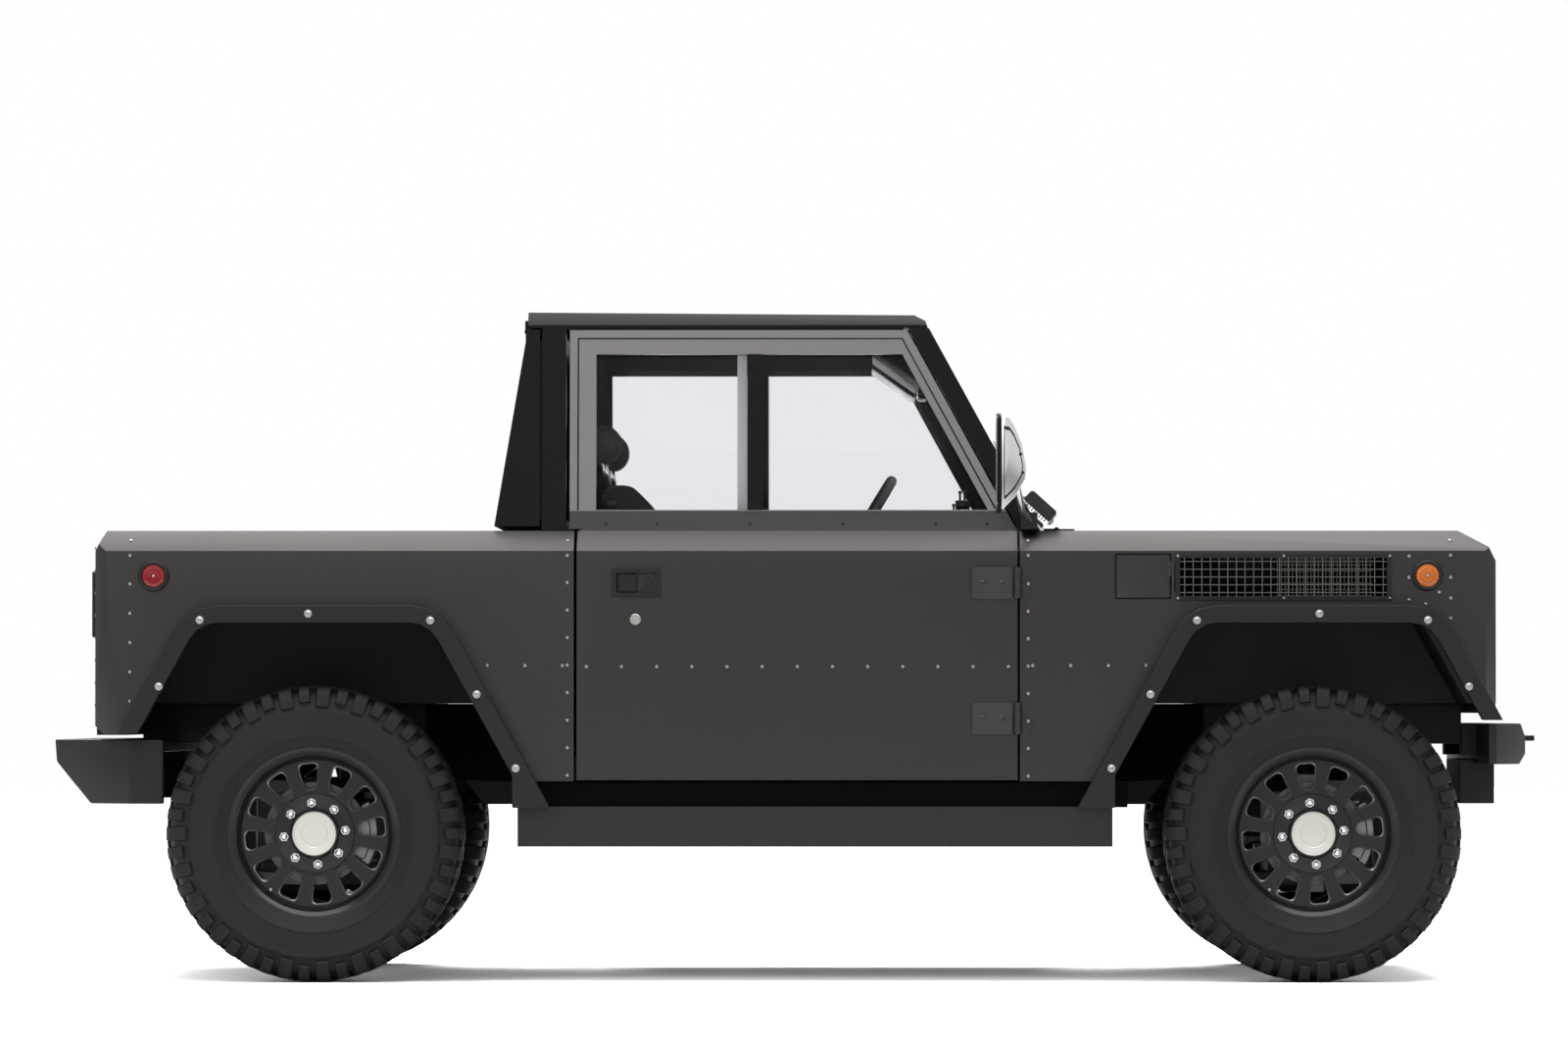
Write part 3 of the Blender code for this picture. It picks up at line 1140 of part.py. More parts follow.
def rocker(hand, side):
    box = block((ROCKER_REAR, ROCKER_FRONT), (side * (ROCKER_OUT - ROCKER_WALL), side * ROCKER_OUT),
                (ROCKER_BOTTOM, RAIL_LOW - SEATED))
    return part(f"rocker_{hand}", box, "rocker_grey")


def front_bumper():
    rear, face = NOSE - 0.017, NOSE + FRONT_BUMPER_REACH
    outline = [(rear, BUMPER_LOW), (face - 0.018, BUMPER_LOW), (face, BUMPER_CREASE - 0.015),
               (face, BUMPER_CREASE + 0.030), (face - 0.014, BUMPER_TOP), (rear, BUMPER_TOP)]
    beam = plate(outline, "y", -BEYOND, BEYOND)
    half = BUMPER_HALF
    plan = [(rear - 0.01, -half), (rear + 0.020, -half), (face + 0.01, -half + 0.150),
            (face + 0.01, half - 0.150), (rear + 0.020, half), (rear - 0.01, half)]
    combine(beam, "INTERSECT", [plate(plan, "z", 0.5, 0.8)])
    joins = [block((NOSE - 0.056, NOSE + 0.038), (-0.280, 0.280), (0.471, BUMPER_LOW + 0.010))]
    holes = []
    for _, side in SIDES:
        joins.append(block((RAIL_FRONT + SEATED, NOSE), (side * RAIL_IN, side * RAIL_OUT),
                           (BUMPER_LOW + 0.020, BUMPER_TOP - 0.005)))
        hook = side * HOOK_SPACING / 2
        joins.append(block((face - 0.020, FRONT_END), (hook - 0.032, hook + 0.032), (0.643, 0.658)))
        holes.append(rod((face + 0.024, hook, 0.6), (face + 0.024, hook, 0.7), 0.014))
    return part("front_bumper", beam, "trim_black", add=joins, cut=holes)


def rear_bumper():
    low, crease, top = REAR_BUMPER_LOW, REAR_BUMPER_CREASE, REAR_BUMPER_TOP
    outline = [(REAR_END, top), (REAR_END + 0.005, crease), (REAR_END + 0.103, low),
               (REAR_BUMPER_FRONT, low), (REAR_BUMPER_FRONT, top)]
    shell = plate(outline, "y", -BEYOND, BEYOND)
    half = REAR_BUMPER_HALF
    turn = REAR_END + 0.215
    plan = [(REAR_END - 0.01, -half + 0.190), (turn, -half), (REAR_BUMPER_FRONT + 0.01, -half),
            (REAR_BUMPER_FRONT + 0.01, half), (turn, half), (REAR_END - 0.01, half - 0.190)]
    combine(shell, "INTERSECT", [plate(plan, "z", 0.4, 0.8)])
    wall = 0.045
    inside = [(REAR_END + 0.140, -half + 0.150), (turn + 0.020, -half + wall), (REAR_BUMPER_FRONT + 0.02, -half + wall),
              (REAR_BUMPER_FRONT + 0.02, half - wall), (turn + 0.020, half - wall), (REAR_END + 0.140, half - 0.150)]
    notch = block((RAIL_REAR - SEATED, REAR_BUMPER_FRONT + 0.02), (-RAIL_OUT - SEATED, RAIL_OUT + SEATED),
                  (RAIL_HIGH - SEATED, top + 0.02))
    return part("rear_bumper", shell, "trim_black", cut=[plate(inside, "z", low - 0.02, RAIL_HIGH - 0.020), notch])


# Mirrors: the glass faces the driver, and the shell tapers forward of it.
MIRROR_IN, MIRROR_OUT = SIDE + 0.035, SIDE + 0.220
MIRROR_TOP = 1.514
MIRROR_FOOT = 0.030
MIRROR_BACK = 0.486


def mirror(hand, side):
    x, z = MIRROR_BACK, MIRROR_TOP
    outline = [(x, z), (x + 0.013, z), (x + 0.034, z - 0.005), (x + 0.067, z - 0.081), (x + 0.078, z - 0.146),
               (x + 0.075, z - 0.178), (x + 0.013, z - 0.264), (x, z - 0.264)]
    shell = plate(outline, "y", side * MIRROR_IN, side * MIRROR_OUT)
    inner = cab_half(BELT_HEIGHT) - 0.002 + SEATED
    low = BELT_HEIGHT + 0.0025
    foot = block((FENDER_REAR + 0.003, SCREEN_FRONT - 0.004), (side * inner, side * (inner + MIRROR_FOOT)),
                 (low, low + 0.048))
    lean_in(foot, side, BELT_HEIGHT)
    knee = (FENDER_REAR + 0.030, side * (inner + MIRROR_FOOT * 0.6), low + 0.026)
    head = (x + 0.045, side * (MIRROR_IN + 0.020), z - 0.190)
    arm = rod(knee, head, 0.012, sides=10)
    return part(f"mirror_{hand}", shell, "trim_black", add=[foot, arm])


# Cabin
SEAT_SPACING = 0.760
SEAT_HALF = 0.250
SEAT_HEIGHT = 0.880
COLUMN_AXIS = Vector((-0.857, 0, 0.515))
STEERING_CENTRE = Vector((0.117, SEAT_SPACING / 2, 1.210))
STEERING_RADIUS = 0.187
DASH_REAR = 0.350
DASH_TOP = 1.150


def seat(hand, side):
    middle = side * SEAT_SPACING / 2
    outer = (middle - SEAT_HALF, middle + SEAT_HALF)
    cushion = [(-0.400, 0.760), (0.190, 0.760), (0.215, 0.800), (0.200, 0.875), (0.100, SEAT_HEIGHT + 0.012),
               (-0.250, SEAT_HEIGHT - 0.025), (-0.400, SEAT_HEIGHT - 0.020)]
    base = plate(cushion, "y", *outer)
    back = [(-0.240, 0.800), (-0.225, 0.900), (-0.440, 1.290), (-0.490, 1.345), (-0.555, 1.345), (-0.590, 1.310),
            (-0.430, 0.800)]
    joins = [plate(back, "y", outer[0] + 0.005, outer[1] - 0.005)]
    rest = (-0.572, 1.450)
    joins.append(plate(arc(rest, 0.068, 0, 337.5, 15), "y", middle - 0.125, middle + 0.125))
    joins.append(plate([(-0.555, 1.30), (-0.590, 1.30), (-0.598, 1.46), (-0.560, 1.46)],
                       "y", middle - 0.040, middle + 0.040))
    joins.append(block((-0.330, 0.140), (middle - 0.200, middle + 0.200), (FLOOR_TOP + SEATED, 0.780)))
    return part(f"seat_{hand}", base, "seat_cloth", add=joins)


def dashboard():
    body = plate([(DASH_REAR, 0.960), (DASH_REAR - 0.020, 1.060), (DASH_REAR + 0.020, DASH_TOP),
                  (FIREWALL[0] - SEATED, DASH_TOP), (FIREWALL[0] - SEATED, 0.930), (DASH_REAR + 0.070, 0.930)],
                 "y", -LEDGE_IN + 0.015, LEDGE_IN - 0.015)
    column = rod(STEERING_CENTRE - COLUMN_AXIS * 0.0405, STEERING_CENTRE - COLUMN_AXIS * 0.340, 0.030, 0.042)
    return part("dashboard", body, "cabin_plastic", add=[column])


def steering_wheel():
    form = bmesh.new()
    sides, tube = 24, 8
    rings = []
    for index in range(sides):
        turn = 2 * math.pi * index / sides
        out = Vector((math.cos(turn), math.sin(turn), 0))
        ring = []
        for step in range(tube):
            angle = 2 * math.pi * step / tube
            ring.append(form.verts.new(out * (STEERING_RADIUS + 0.016 * math.cos(angle))
                                       + Vector((0, 0, 0.016 * math.sin(angle)))))
        rings.append(ring)
    for index in range(sides):
        for step in range(tube):
            first, second = rings[index], rings[(index + 1) % sides]
            form.faces.new((first[step], second[step], second[(step + 1) % tube], first[(step + 1) % tube]))
    bmesh.ops.recalc_face_normals(form, faces=form.faces)
    turn = Vector((0, 0, 1)).rotation_difference(COLUMN_AXIS).to_matrix().to_4x4()
    form.transform(Matrix.Translation(STEERING_CENTRE) @ turn)
    rim = helper(form)
    hub = rod(STEERING_CENTRE - COLUMN_AXIS * 0.040, STEERING_CENTRE + COLUMN_AXIS * 0.012, 0.038, 0.050)
    across = Vector((0, 1, 0))
    down = COLUMN_AXIS.cross(across).normalized()
    spokes = []
    for way in (across, -across, down if down.z < 0 else -down):
        end = STEERING_CENTRE + way * STEERING_RADIUS
        start = STEERING_CENTRE - COLUMN_AXIS * 0.012
        spokes.append(rod(start, end, 0.014, 0.010, sides=8))
    return part("steering_wheel", rim, "cabin_plastic", add=[hub, *spokes], pivot=STEERING_CENTRE)


# Drive units, as reaches behind and ahead of the axle: the front one leaves room for the rack
FRONT_DRIVE = (-0.090, 0.200)
REAR_DRIVE = (-0.200, 0.200)

chassis_frame()
battery_pack()
drive_unit("front_drive_unit", FRONT_AXLE, *FRONT_DRIVE, KINGPIN - 0.035)
drive_unit("rear_drive_unit", REAR_AXLE, *REAR_DRIVE, UPRIGHT_IN - SEATED)
front_suspension()
rear_suspension()
steering_rack()
wheels()
cab_floor()
cab_top()
rear_hatch()
rear_hatch_glass()
windshield_frame()
windshield_glass()
front_tub()
front_panel()
hood()
charge_door()
bed_tub()
tailgate()
front_bumper()
rear_bumper()
dashboard()
steering_wheel()
for hand, side in SIDES:
    knuckle(f"knuckle_{hand}", side)
    fender(hand, side)
    side_grille(hand, side)
    headlamp(hand, side)
    door(hand, side)
    door_glass(hand, side)
    bedside(hand, side)
    tail_lamp(hand, side)
    rocker(hand, side)
    mirror(hand, side)
    seat(hand, side)
    flare(f"flare_front_{hand}", FRONT_AXLE, -1, FRONT_FLARE_END, side)
    flare(f"flare_rear_{hand}", REAR_AXLE, 1, REAR_FLARE_END, side)
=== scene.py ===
# Electric pickup truck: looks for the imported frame
import json
import math
from contextlib import contextmanager
import bmesh
import bpy
from mathutils import Matrix, Vector


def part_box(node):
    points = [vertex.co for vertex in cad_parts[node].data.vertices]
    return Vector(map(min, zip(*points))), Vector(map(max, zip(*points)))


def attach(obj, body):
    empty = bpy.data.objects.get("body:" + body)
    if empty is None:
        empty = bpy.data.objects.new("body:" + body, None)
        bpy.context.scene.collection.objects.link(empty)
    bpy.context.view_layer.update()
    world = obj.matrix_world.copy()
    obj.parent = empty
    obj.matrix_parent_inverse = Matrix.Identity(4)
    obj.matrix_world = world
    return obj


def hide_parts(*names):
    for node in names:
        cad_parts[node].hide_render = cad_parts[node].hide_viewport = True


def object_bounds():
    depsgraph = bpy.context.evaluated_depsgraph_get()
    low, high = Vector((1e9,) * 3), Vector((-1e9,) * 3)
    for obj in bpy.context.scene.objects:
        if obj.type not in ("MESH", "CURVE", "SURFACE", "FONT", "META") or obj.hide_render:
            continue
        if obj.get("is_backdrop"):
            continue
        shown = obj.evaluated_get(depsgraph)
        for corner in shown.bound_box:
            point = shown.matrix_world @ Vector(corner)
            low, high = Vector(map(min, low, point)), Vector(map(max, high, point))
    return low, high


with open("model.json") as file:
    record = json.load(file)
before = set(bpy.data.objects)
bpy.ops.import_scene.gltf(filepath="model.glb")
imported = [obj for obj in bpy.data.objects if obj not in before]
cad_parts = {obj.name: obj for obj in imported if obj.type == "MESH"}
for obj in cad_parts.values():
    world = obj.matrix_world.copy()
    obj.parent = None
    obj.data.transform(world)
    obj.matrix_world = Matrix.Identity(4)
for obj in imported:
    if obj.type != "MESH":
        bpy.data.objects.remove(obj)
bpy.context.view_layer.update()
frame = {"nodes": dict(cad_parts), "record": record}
nodes = frame["nodes"]
bodyOf = {node: body for body, members in frame["record"]["behaviour"]["bodies"].items() for node in members}
scene = bpy.context.scene
shiftX = 0.041  # the truck is centred on its own length
sides = (("left", 1), ("right", -1))
forward, rearward, crosswise, upright = Vector((1, 0, 0)), Vector((-1, 0, 0)), Vector((0, 1, 0)), Vector((0, 0, 1))
print("frame loaded:", len(nodes), "nodes")


class sizes(dict):
    # a dictionary whose values can be written as sizes.name
    __getattr__ = dict.__getitem__


def newObject(name, data):
    thing = bpy.data.objects.new(name, data)
    scene.collection.objects.link(thing)
    return thing


# Camera and lamps
view = sizes(height=0.728, x=0.145, distance=24.97, lens=206.8, pitch=1.19, yaw=0.436)
camera = newObject("camera", bpy.data.cameras.new("camera"))
camera.data.lens, camera.data.sensor_width, camera.data.clip_end = view.lens, 36, 200
camera.location = (view.x, -view.distance, view.height)
camera.rotation_euler = (math.radians(90 + view.pitch), 0, math.radians(view.yaw))
scene.camera = camera
scene.view_settings.view_transform = "Standard"

lights = {  # power, place, aim, size
    "overheadLight": (780, (0, -0.5, 6.5), (0, 0, 0.5), (9, 5)),
    "nearLight": (80, (-3.0, -8.0, 4.5), (0, 0, 0.8), (8, 3.5)),
    "farLight": (760, (-1.0, 5.5, 6.5), (0, 0, 1.0), (9, 3.5)),
}
for name, (power, place, aim, size) in lights.items():
    data = bpy.data.lights.new(name, "AREA")
    data.shape, data.energy = "RECTANGLE", power
    data.size, data.size_y = size
    lamp = newObject(name, data)
    lamp.location = place
    lamp.rotation_euler = (Vector(aim) - Vector(place)).to_track_quat("-Z", "Y").to_euler()


# Node trees: an input takes a plain value or another node's output
def fill(tree, node, inputs):
    for socket, value in inputs.items():
        if isinstance(value, bpy.types.NodeSocket):
            tree.links.new(value, node.inputs[socket])
        else:
            node.inputs[socket].default_value = value
    return node


def addNode(tree, kind, inputs={}, **options):
    node = tree.nodes.new(kind if "Node" in kind else "ShaderNode" + kind)
    for option, value in options.items():
        setattr(node, option, value)
    return fill(tree, node, inputs)


def calculate(tree, operation, *values, **options):
    return addNode(tree, "Math", dict(enumerate(values)), operation=operation, **options).outputs[0]


def newMaterial(name):
    material = bpy.data.materials.new(name)
    material.use_nodes = True
    return material, material.node_tree


def newGroup(name, inputs, outputs):
    tree = bpy.data.node_groups.new(name, "ShaderNodeTree")
    kinds = {False: "NodeSocketFloat", True: "NodeSocketColor"}
    for label, value in inputs.items():
        socket = tree.interface.new_socket(name=label, in_out="INPUT", socket_type=kinds["Color" in label])
        socket.default_value = value
    for label in outputs:
        tree.interface.new_socket(name=label, in_out="OUTPUT", socket_type=kinds["Color" in label])
    return tree, tree.nodes.new("NodeGroupInput").outputs, tree.nodes.new("NodeGroupOutput")


def studioWorld(strength):
    scene.world = bpy.data.worlds.new("studio")
    scene.world.use_nodes = True
    tree = scene.world.node_tree
    path = addNode(tree, "LightPath").outputs
    seen = calculate(tree, "MAXIMUM", path["Is Camera Ray"], path["Is Glossy Ray"])
    through = calculate(tree, "MAXIMUM", seen, path["Is Transmission Ray"])
    mix = addNode(tree, "Mix", {"Factor": through, "A": strength, "B": 1.0})
    fill(tree, tree.nodes["Background"], {"Color": (1, 1, 1, 1), "Strength": mix.outputs[0]})


def studioFloor(seen, mirrored, lit, half=60):
    # one white floor: its colour is raised for what looks at it, and light that bounces off it stays level
    mesh = bpy.data.meshes.new("studioFloor")
    corners = [(-half, -half, 0), (half, -half, 0), (half, half, 0), (-half, half, 0)]
    mesh.from_pydata(corners, [], [(0, 1, 2, 3)])
    material, tree = newMaterial("studioFloor")
    tree.nodes.remove(tree.nodes["Principled BSDF"])
    path = addNode(tree, "LightPath").outputs
    looked = calculate(tree, "MAXIMUM", path["Is Camera Ray"], path["Is Transmission Ray"])
    inMirrors = calculate(tree, "MULTIPLY_ADD", path["Is Glossy Ray"], mirrored - lit, lit)
    total = calculate(tree, "MULTIPLY_ADD", looked, seen - lit, inMirrors)
    surface = addNode(tree, "BsdfDiffuse", {"Color": total})
    fill(tree, tree.nodes["Material Output"], {"Surface": surface.outputs[0]})
    mesh.materials.append(material)
    newObject("studioFloor", mesh)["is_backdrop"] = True


studioWorld(0.3)
studioFloor(seen=5.5, mirrored=1.0, lit=0.75)
print("camera and studio ready")


# Shared effects
def grainGroup():
    # fine grain: a roughness that varies and a height for bump
    tree, given, end = newGroup("fineGrain", {"Grain Scale": 900.0, "Roughness": 0.5, "Variation": 0.08},
                                ("Roughness", "Height"))
    place = addNode(tree, "TexCoord").outputs["Object"]
    fine = addNode(tree, "TexNoise", {"Vector": place, "Scale": given["Grain Scale"], "Detail": 3})
    broad = addNode(tree, "TexNoise", {"Vector": place, "Scale": 3.5, "Detail": 5})
    centred = calculate(tree, "SUBTRACT", broad.outputs["Fac"], 0.5)
    rough = calculate(tree, "MULTIPLY_ADD", centred, given["Variation"], given["Roughness"])
    fill(tree, end, {"Roughness": rough, "Height": fine.outputs["Fac"]})
    return tree


def dustGroup():
    # road dust that thickens towards the ground, in soft patches
    tree, given, end = newGroup("roadDust", {"Color": (0.1, 0.1, 0.1, 1), "Dust Color": (0.17, 0.15, 0.125, 1),
                                             "Top": 0.9, "Amount": 0.15}, ("Color",))
    place = addNode(tree, "TexCoord").outputs["Object"]
    height = addNode(tree, "SeparateXYZ", {0: place}).outputs["Z"]
    patch = addNode(tree, "TexNoise", {"Vector": place, "Scale": 4.0, "Detail": 6})
    fall = addNode(tree, "MapRange", {"Value": height, "From Max": given["Top"], "To Min": 1, "To Max": 0})
    soft = calculate(tree, "MULTIPLY", fall.outputs[0], patch.outputs["Fac"])
    total = calculate(tree, "MULTIPLY", soft, given["Amount"], use_clamp=True)
    mix = addNode(tree, "Mix", {"Factor": total, "A": given["Color"], "B": given["Dust Color"]}, data_type="RGBA")
    fill(tree, end, {"Color": mix.outputs[2]})
    return tree


fineGrain, roadDust = grainGroup(), dustGroup()
materials = {}
# Finishes: gloss is the shine of the plain surface, dustTop how high the road dust reaches
finishes = {  # color, metal, rough, vary, grain, bump, dustTop, dust, coat, gloss
    "bodyPaint": ((0.04, 0.037, 0.0362), 0.9, 0.4, 0.07, 1400, 0.00003, 0.8, 0.05, 0.1, 0.4),
    "trimBlack": ((0.006, 0.006, 0.006), 0, 0.5, 0.12, 700, 0.00014, 0.8, 0.02, 0, 0.3),
    "frameBlack": ((0.007, 0.007, 0.008), 0, 0.55, 0.15, 500, 0.0001, 0.7, 0.05, 0, 0.22),
    "rockerGrey": ((0.02, 0.02, 0.021), 0.3, 0.42, 0.12, 900, 0.00006, 0.6, 0.03, 0, 0.35),
    "doorFrameGrey": ((0.21, 0.2, 0.2), 0.4, 0.44, 0.06, 1200, 0.00003, 0.1, 0, 0, 0.4),
    "railGrey": ((0.052, 0.048, 0.049), 0.4, 0.44, 0.06, 1200, 0.00003, 0.1, 0, 0, 0.4),
    "roofBlack": ((0.009, 0.008, 0.009), 0, 0.36, 0.1, 1200, 0.00004, 0.1, 0, 0, 0.09),
    "tyreRubber": ((0.0065, 0.0065, 0.0065), 0, 0.62, 0.16, 420, 0.00018, 0.5, 0.04, 0, 0.3),
    "rimBlack": ((0.007, 0.007, 0.008), 0.2, 0.3, 0.08, 1300, 0.00003, 0.6, 0.02, 0.12, 0.35),
    "castMetal": ((0.2, 0.2, 0.205), 0.85, 0.5, 0.2, 380, 0.0003, 0.7, 0.12, 0, 0.5),
    "chrome": ((0.74, 0.74, 0.75), 1, 0.14, 0.05, 900, 0, 0.5, 0.02, 0, 0.5),
    "polished": ((0.62, 0.615, 0.61), 1, 0.16, 0.06, 900, 0, 0.5, 0, 0, 0.5),
    "nickel": ((0.6, 0.58, 0.545), 1, 0.32, 0.12, 1100, 0.00002, 0.5, 0.03, 0, 0.5),
    "lampCup": ((0.1, 0.1, 0.105), 1, 0.22, 0.05, 900, 0, 0.1, 0, 0, 0.5),
    "paintedRivet": ((0.27, 0.26, 0.255), 0.9, 0.3, 0.08, 900, 0, 0.5, 0.02, 0, 0.5),
    "finBrass": ((0.14, 0.128, 0.108), 0.8, 0.4, 0.1, 900, 0, 0.5, 0, 0, 0.4),
    "rivetSteel": ((0.4, 0.395, 0.385), 0.9, 0.36, 0.08, 900, 0, 0.5, 0.02, 0, 0.5),
    "hingeGrey": ((0.052, 0.048, 0.048), 0.6, 0.36, 0.1, 1100, 0.00004, 0.5, 0.02, 0, 0.45),
    "cabinPlastic": ((0.014, 0.014, 0.015), 0, 0.6, 0.1, 600, 0.0002, 0.7, 0.03, 0, 0.35),
    "bedLiner": ((0.01, 0.01, 0.011), 0, 0.8, 0.1, 160, 0.0009, 0.95, 0.05, 0, 0.3),
    # the next finish is near-black with almost no shine, darker than the parts' own black: painted shade for
    # recesses and hollows
    "underBlack": ((0.003, 0.003, 0.003), 0, 0.8, 0.1, 500, 0.0001, 0.7, 0.01, 0, 0.05),
    "gaugeFace": ((0.012, 0.012, 0.013), 0, 0.3, 0.05, 900, 0, 0.1, 0, 0.3, 0.5),
    "meshSteel": ((0.17, 0.168, 0.165), 0.8, 0.38, 0.08, 900, 0, 0.5, 0.02, 0, 0.45),
    "brakeDisc": ((0.075, 0.073, 0.072), 1, 0.34, 0.15, 700, 0.00003, 0.7, 0.06, 0, 0.5),
}
for name, (color, metal, rough, vary, grain, bump, dustTop, dust, coat, gloss) in finishes.items():
    materials[name], tree = newMaterial(name)
    grained = addNode(tree, "Group", {}, node_tree=fineGrain)
    fill(tree, grained, {"Grain Scale": grain, "Roughness": rough, "Variation": vary})
    dusty = addNode(tree, "Group", {"Color": (*color, 1), "Top": dustTop, "Amount": dust}, node_tree=roadDust)
    shader = fill(tree, tree.nodes["Principled BSDF"], {
        "Metallic": metal, "Coat Weight": coat, "Coat Roughness": 0.25, "Specular IOR Level": gloss,
        "Roughness": grained.outputs["Roughness"], "Base Color": dusty.outputs["Color"]})
    if bump:
        raised = addNode(tree, "Bump", {"Strength": 0.6, "Distance": bump, "Height": grained.outputs["Height"]})
        fill(tree, shader, {"Normal": raised.outputs["Normal"]})

clears = {  # color, rough, transmission, index of refraction
    "glass": ((0.885, 0.885, 0.905), 0.0, 1.0, 1.12), "lampClear": ((0.92, 0.93, 0.95), 0.05, 0.85, 1.45),
    "lampRed": ((0.34, 0.006, 0.01), 0.1, 0.15, 1.45), "lampAmber": ((0.8, 0.2, 0.02), 0.1, 0.15, 1.45),
    "slidingEdge": ((0.62, 0.6, 0.64), 0.3, 0.55, 1.45), "lampPane": ((0.9, 0.91, 0.93), 0.0, 1.0, 1.08),
    "lampLens": ((0.45, 0.46, 0.48), 0.03, 0.8, 1.2),
}
for name, (color, rough, transmission, bend) in clears.items():
    materials[name], tree = newMaterial(name)
    fill(tree, tree.nodes["Principled BSDF"], {"Base Color": (*color, 1), "Transmission Weight": transmission,
                                               "IOR": bend, "Roughness": rough})
print("materials:", len(materials))

# Panels: each is its CAD solid with merged faces and small rounded edges
@contextmanager
def editing(mesh):
    work = bmesh.new()
    work.from_mesh(mesh)
    yield work
    work.to_mesh(mesh)
    work.free()


def smooth(mesh):
    mesh.polygons.foreach_set("use_smooth", [True] * len(mesh.polygons))


def sharpen(piece, angle):
    piece.data.set_sharp_from_angle(angle=math.radians(angle))


def cleanCopy(node, name):
    mesh = nodes[node].data.copy()
    mesh.name = name
    with editing(mesh) as work:
        bmesh.ops.remove_doubles(work, verts=work.verts, dist=0.00002)
        bmesh.ops.dissolve_limit(work, angle_limit=math.radians(0.6), verts=work.verts, edges=work.edges)
    if "custom_normal" in mesh.attributes:
        mesh.attributes.remove(mesh.attributes["custom_normal"])
    mesh.materials.clear()
    smooth(mesh)
    return newObject(name, mesh)


def settle(piece):
    # turns live modifiers into plain mesh
    old = piece.data
    piece.data = bpy.data.meshes.new_from_object(piece.evaluated_get(bpy.context.evaluated_depsgraph_get()))
    piece.modifiers.clear()
    piece.data.name = piece.name
    if old.users == 0:
        bpy.data.meshes.remove(old)


def modify(piece, kind, **options):
    modifier = piece.modifiers.new(kind.lower(), kind)
    for option, value in options.items():
        setattr(modifier, option, value)
    return modifier


def roundEdges(piece, width, segments=2, angle=24):
    modify(piece, "BEVEL", width=width, segments=segments, limit_method="ANGLE", angle_limit=math.radians(angle))
    settle(piece)
    sharpen(piece, 21)


def finish(piece, look, body, replaced=None):
    # what every piece gets: its material, its body and the CAD node it stands for
    mesh = piece.data
    mesh.materials.clear()
    mesh.materials.append(materials[look])
    mesh.polygons.foreach_set("material_index", [0] * len(mesh.polygons))
    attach(piece, body)
    if replaced:
        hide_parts(replaced)
    return piece


slotOf = {entry["node"]: entry["material_slot"] for entry in frame["record"]["subparts"]}
looks = {"body_paint": "bodyPaint", "trim_black": "trimBlack", "frame_black": "frameBlack",
         "rocker_grey": "rockerGrey", "cast_metal": "castMetal", "cabin_plastic": "cabinPlastic",
         "bed_liner": "bedLiner"}
roundings = {"hood": 0.003, "tailgate": 0.003, "front_panel": 0.004, "front_bumper": 0.004, "rear_bumper": 0.004,
             "chassis_frame": 0.003, "battery_pack": 0.006, "dashboard": 0.012, "cab_floor": 0.004,
             "flare": 0.0035}
roofed = ("cab_top", "windshield_frame", "rear_hatch")
builtAnew = ("mirror_left", "mirror_right", "steering_wheel", "side_grille_left", "side_grille_right")
panels = {}
for node, slot in slotOf.items():
    if slot in looks and node not in builtAnew:
        panels[node] = cleanCopy(node, node + "_finished")
        roundEdges(panels[node], roundings.get("flare" if "flare" in node else node, 0.002))
        finish(panels[node], "roofBlack" if node in roofed else looks[slot], bodyOf[node], node)
print("panels:", len(panels))

# The doors' window frames are lighter grey outside, and everything that faces the cabin is dark
frameFoot, railTop = 1.2085, 1.26
for hand, side in sides:
    mesh = panels["door_" + hand].data
    for look in ("doorFrameGrey", "roofBlack", "cabinPlastic", "railGrey"):
        mesh.materials.append(materials[look])
    with editing(mesh) as work:
        bmesh.ops.bisect_plane(work, geom=[*work.verts, *work.edges, *work.faces], dist=0.00001,
                               plane_co=(0, 0, railTop), plane_no=(0, 0, 1))
    for face in mesh.polygons:
        outward = face.normal.y * side
        if face.center.z > frameFoot:
            outside = 4 if face.center.z < railTop else 1
            face.material_index = outside if outward > 0.8 else 2
        elif outward < -0.5:
            face.material_index = 3


# Small solids made in mesh code, each as points and faces
def meshObject(name, shape):
    mesh = bpy.data.meshes.new(name)
    mesh.from_pydata([tuple(v) for v in shape[0]], [], shape[1])
    with editing(mesh) as work:
        bmesh.ops.remove_doubles(work, verts=work.verts, dist=0.00001)
        bmesh.ops.recalc_face_normals(work, faces=work.faces)
    smooth(mesh)
    return newObject(name, mesh)


def newPiece(name, shape, look, slot, body="truck_body", bevel=0, segments=2, sharp=0, replaced=None):
    # shape is one solid, or a list of solids that become one piece
    piece = meshObject(name, joined(shape) if isinstance(shape, list) else shape)
    if bevel:
        roundEdges(piece, bevel, segments)
    if sharp:
        sharpen(piece, sharp)
    return finish(piece, look, body, replaced)


def joined(shapes):
    verts, faces = [], []
    for shapeVerts, shapeFaces in shapes:
        start = len(verts)
        verts += shapeVerts
        faces += [tuple(start + i for i in face) for face in shapeFaces]
    return verts, faces


def placed(shape, matrix):
    return [matrix @ Vector(v) for v in shape[0]], shape[1]


def boxShape(low, high):
    (a, d), (b, e), (c, f) = (sorted(pair) for pair in zip(low, high))
    verts = [(a, b, c), (d, b, c), (d, e, c), (a, e, c), (a, b, f), (d, b, f), (d, e, f), (a, e, f)]
    return verts, [(0, 3, 2, 1), (4, 5, 6, 7), (0, 1, 5, 4), (1, 2, 6, 5), (2, 3, 7, 6), (3, 0, 4, 7)]


def ringFaces(rings, count, closed=False):
    # quads between rings of count points, the last ring joined to the first where closed
    return [(r * count + i, r * count + (i + 1) % count, (r + 1) % rings * count + (i + 1) % count,
             (r + 1) % rings * count + i) for r in range(rings if closed else rings - 1) for i in range(count)]


def capFaces(rings, count):
    return [tuple(range(count))[::-1], tuple(range((rings - 1) * count, rings * count))]


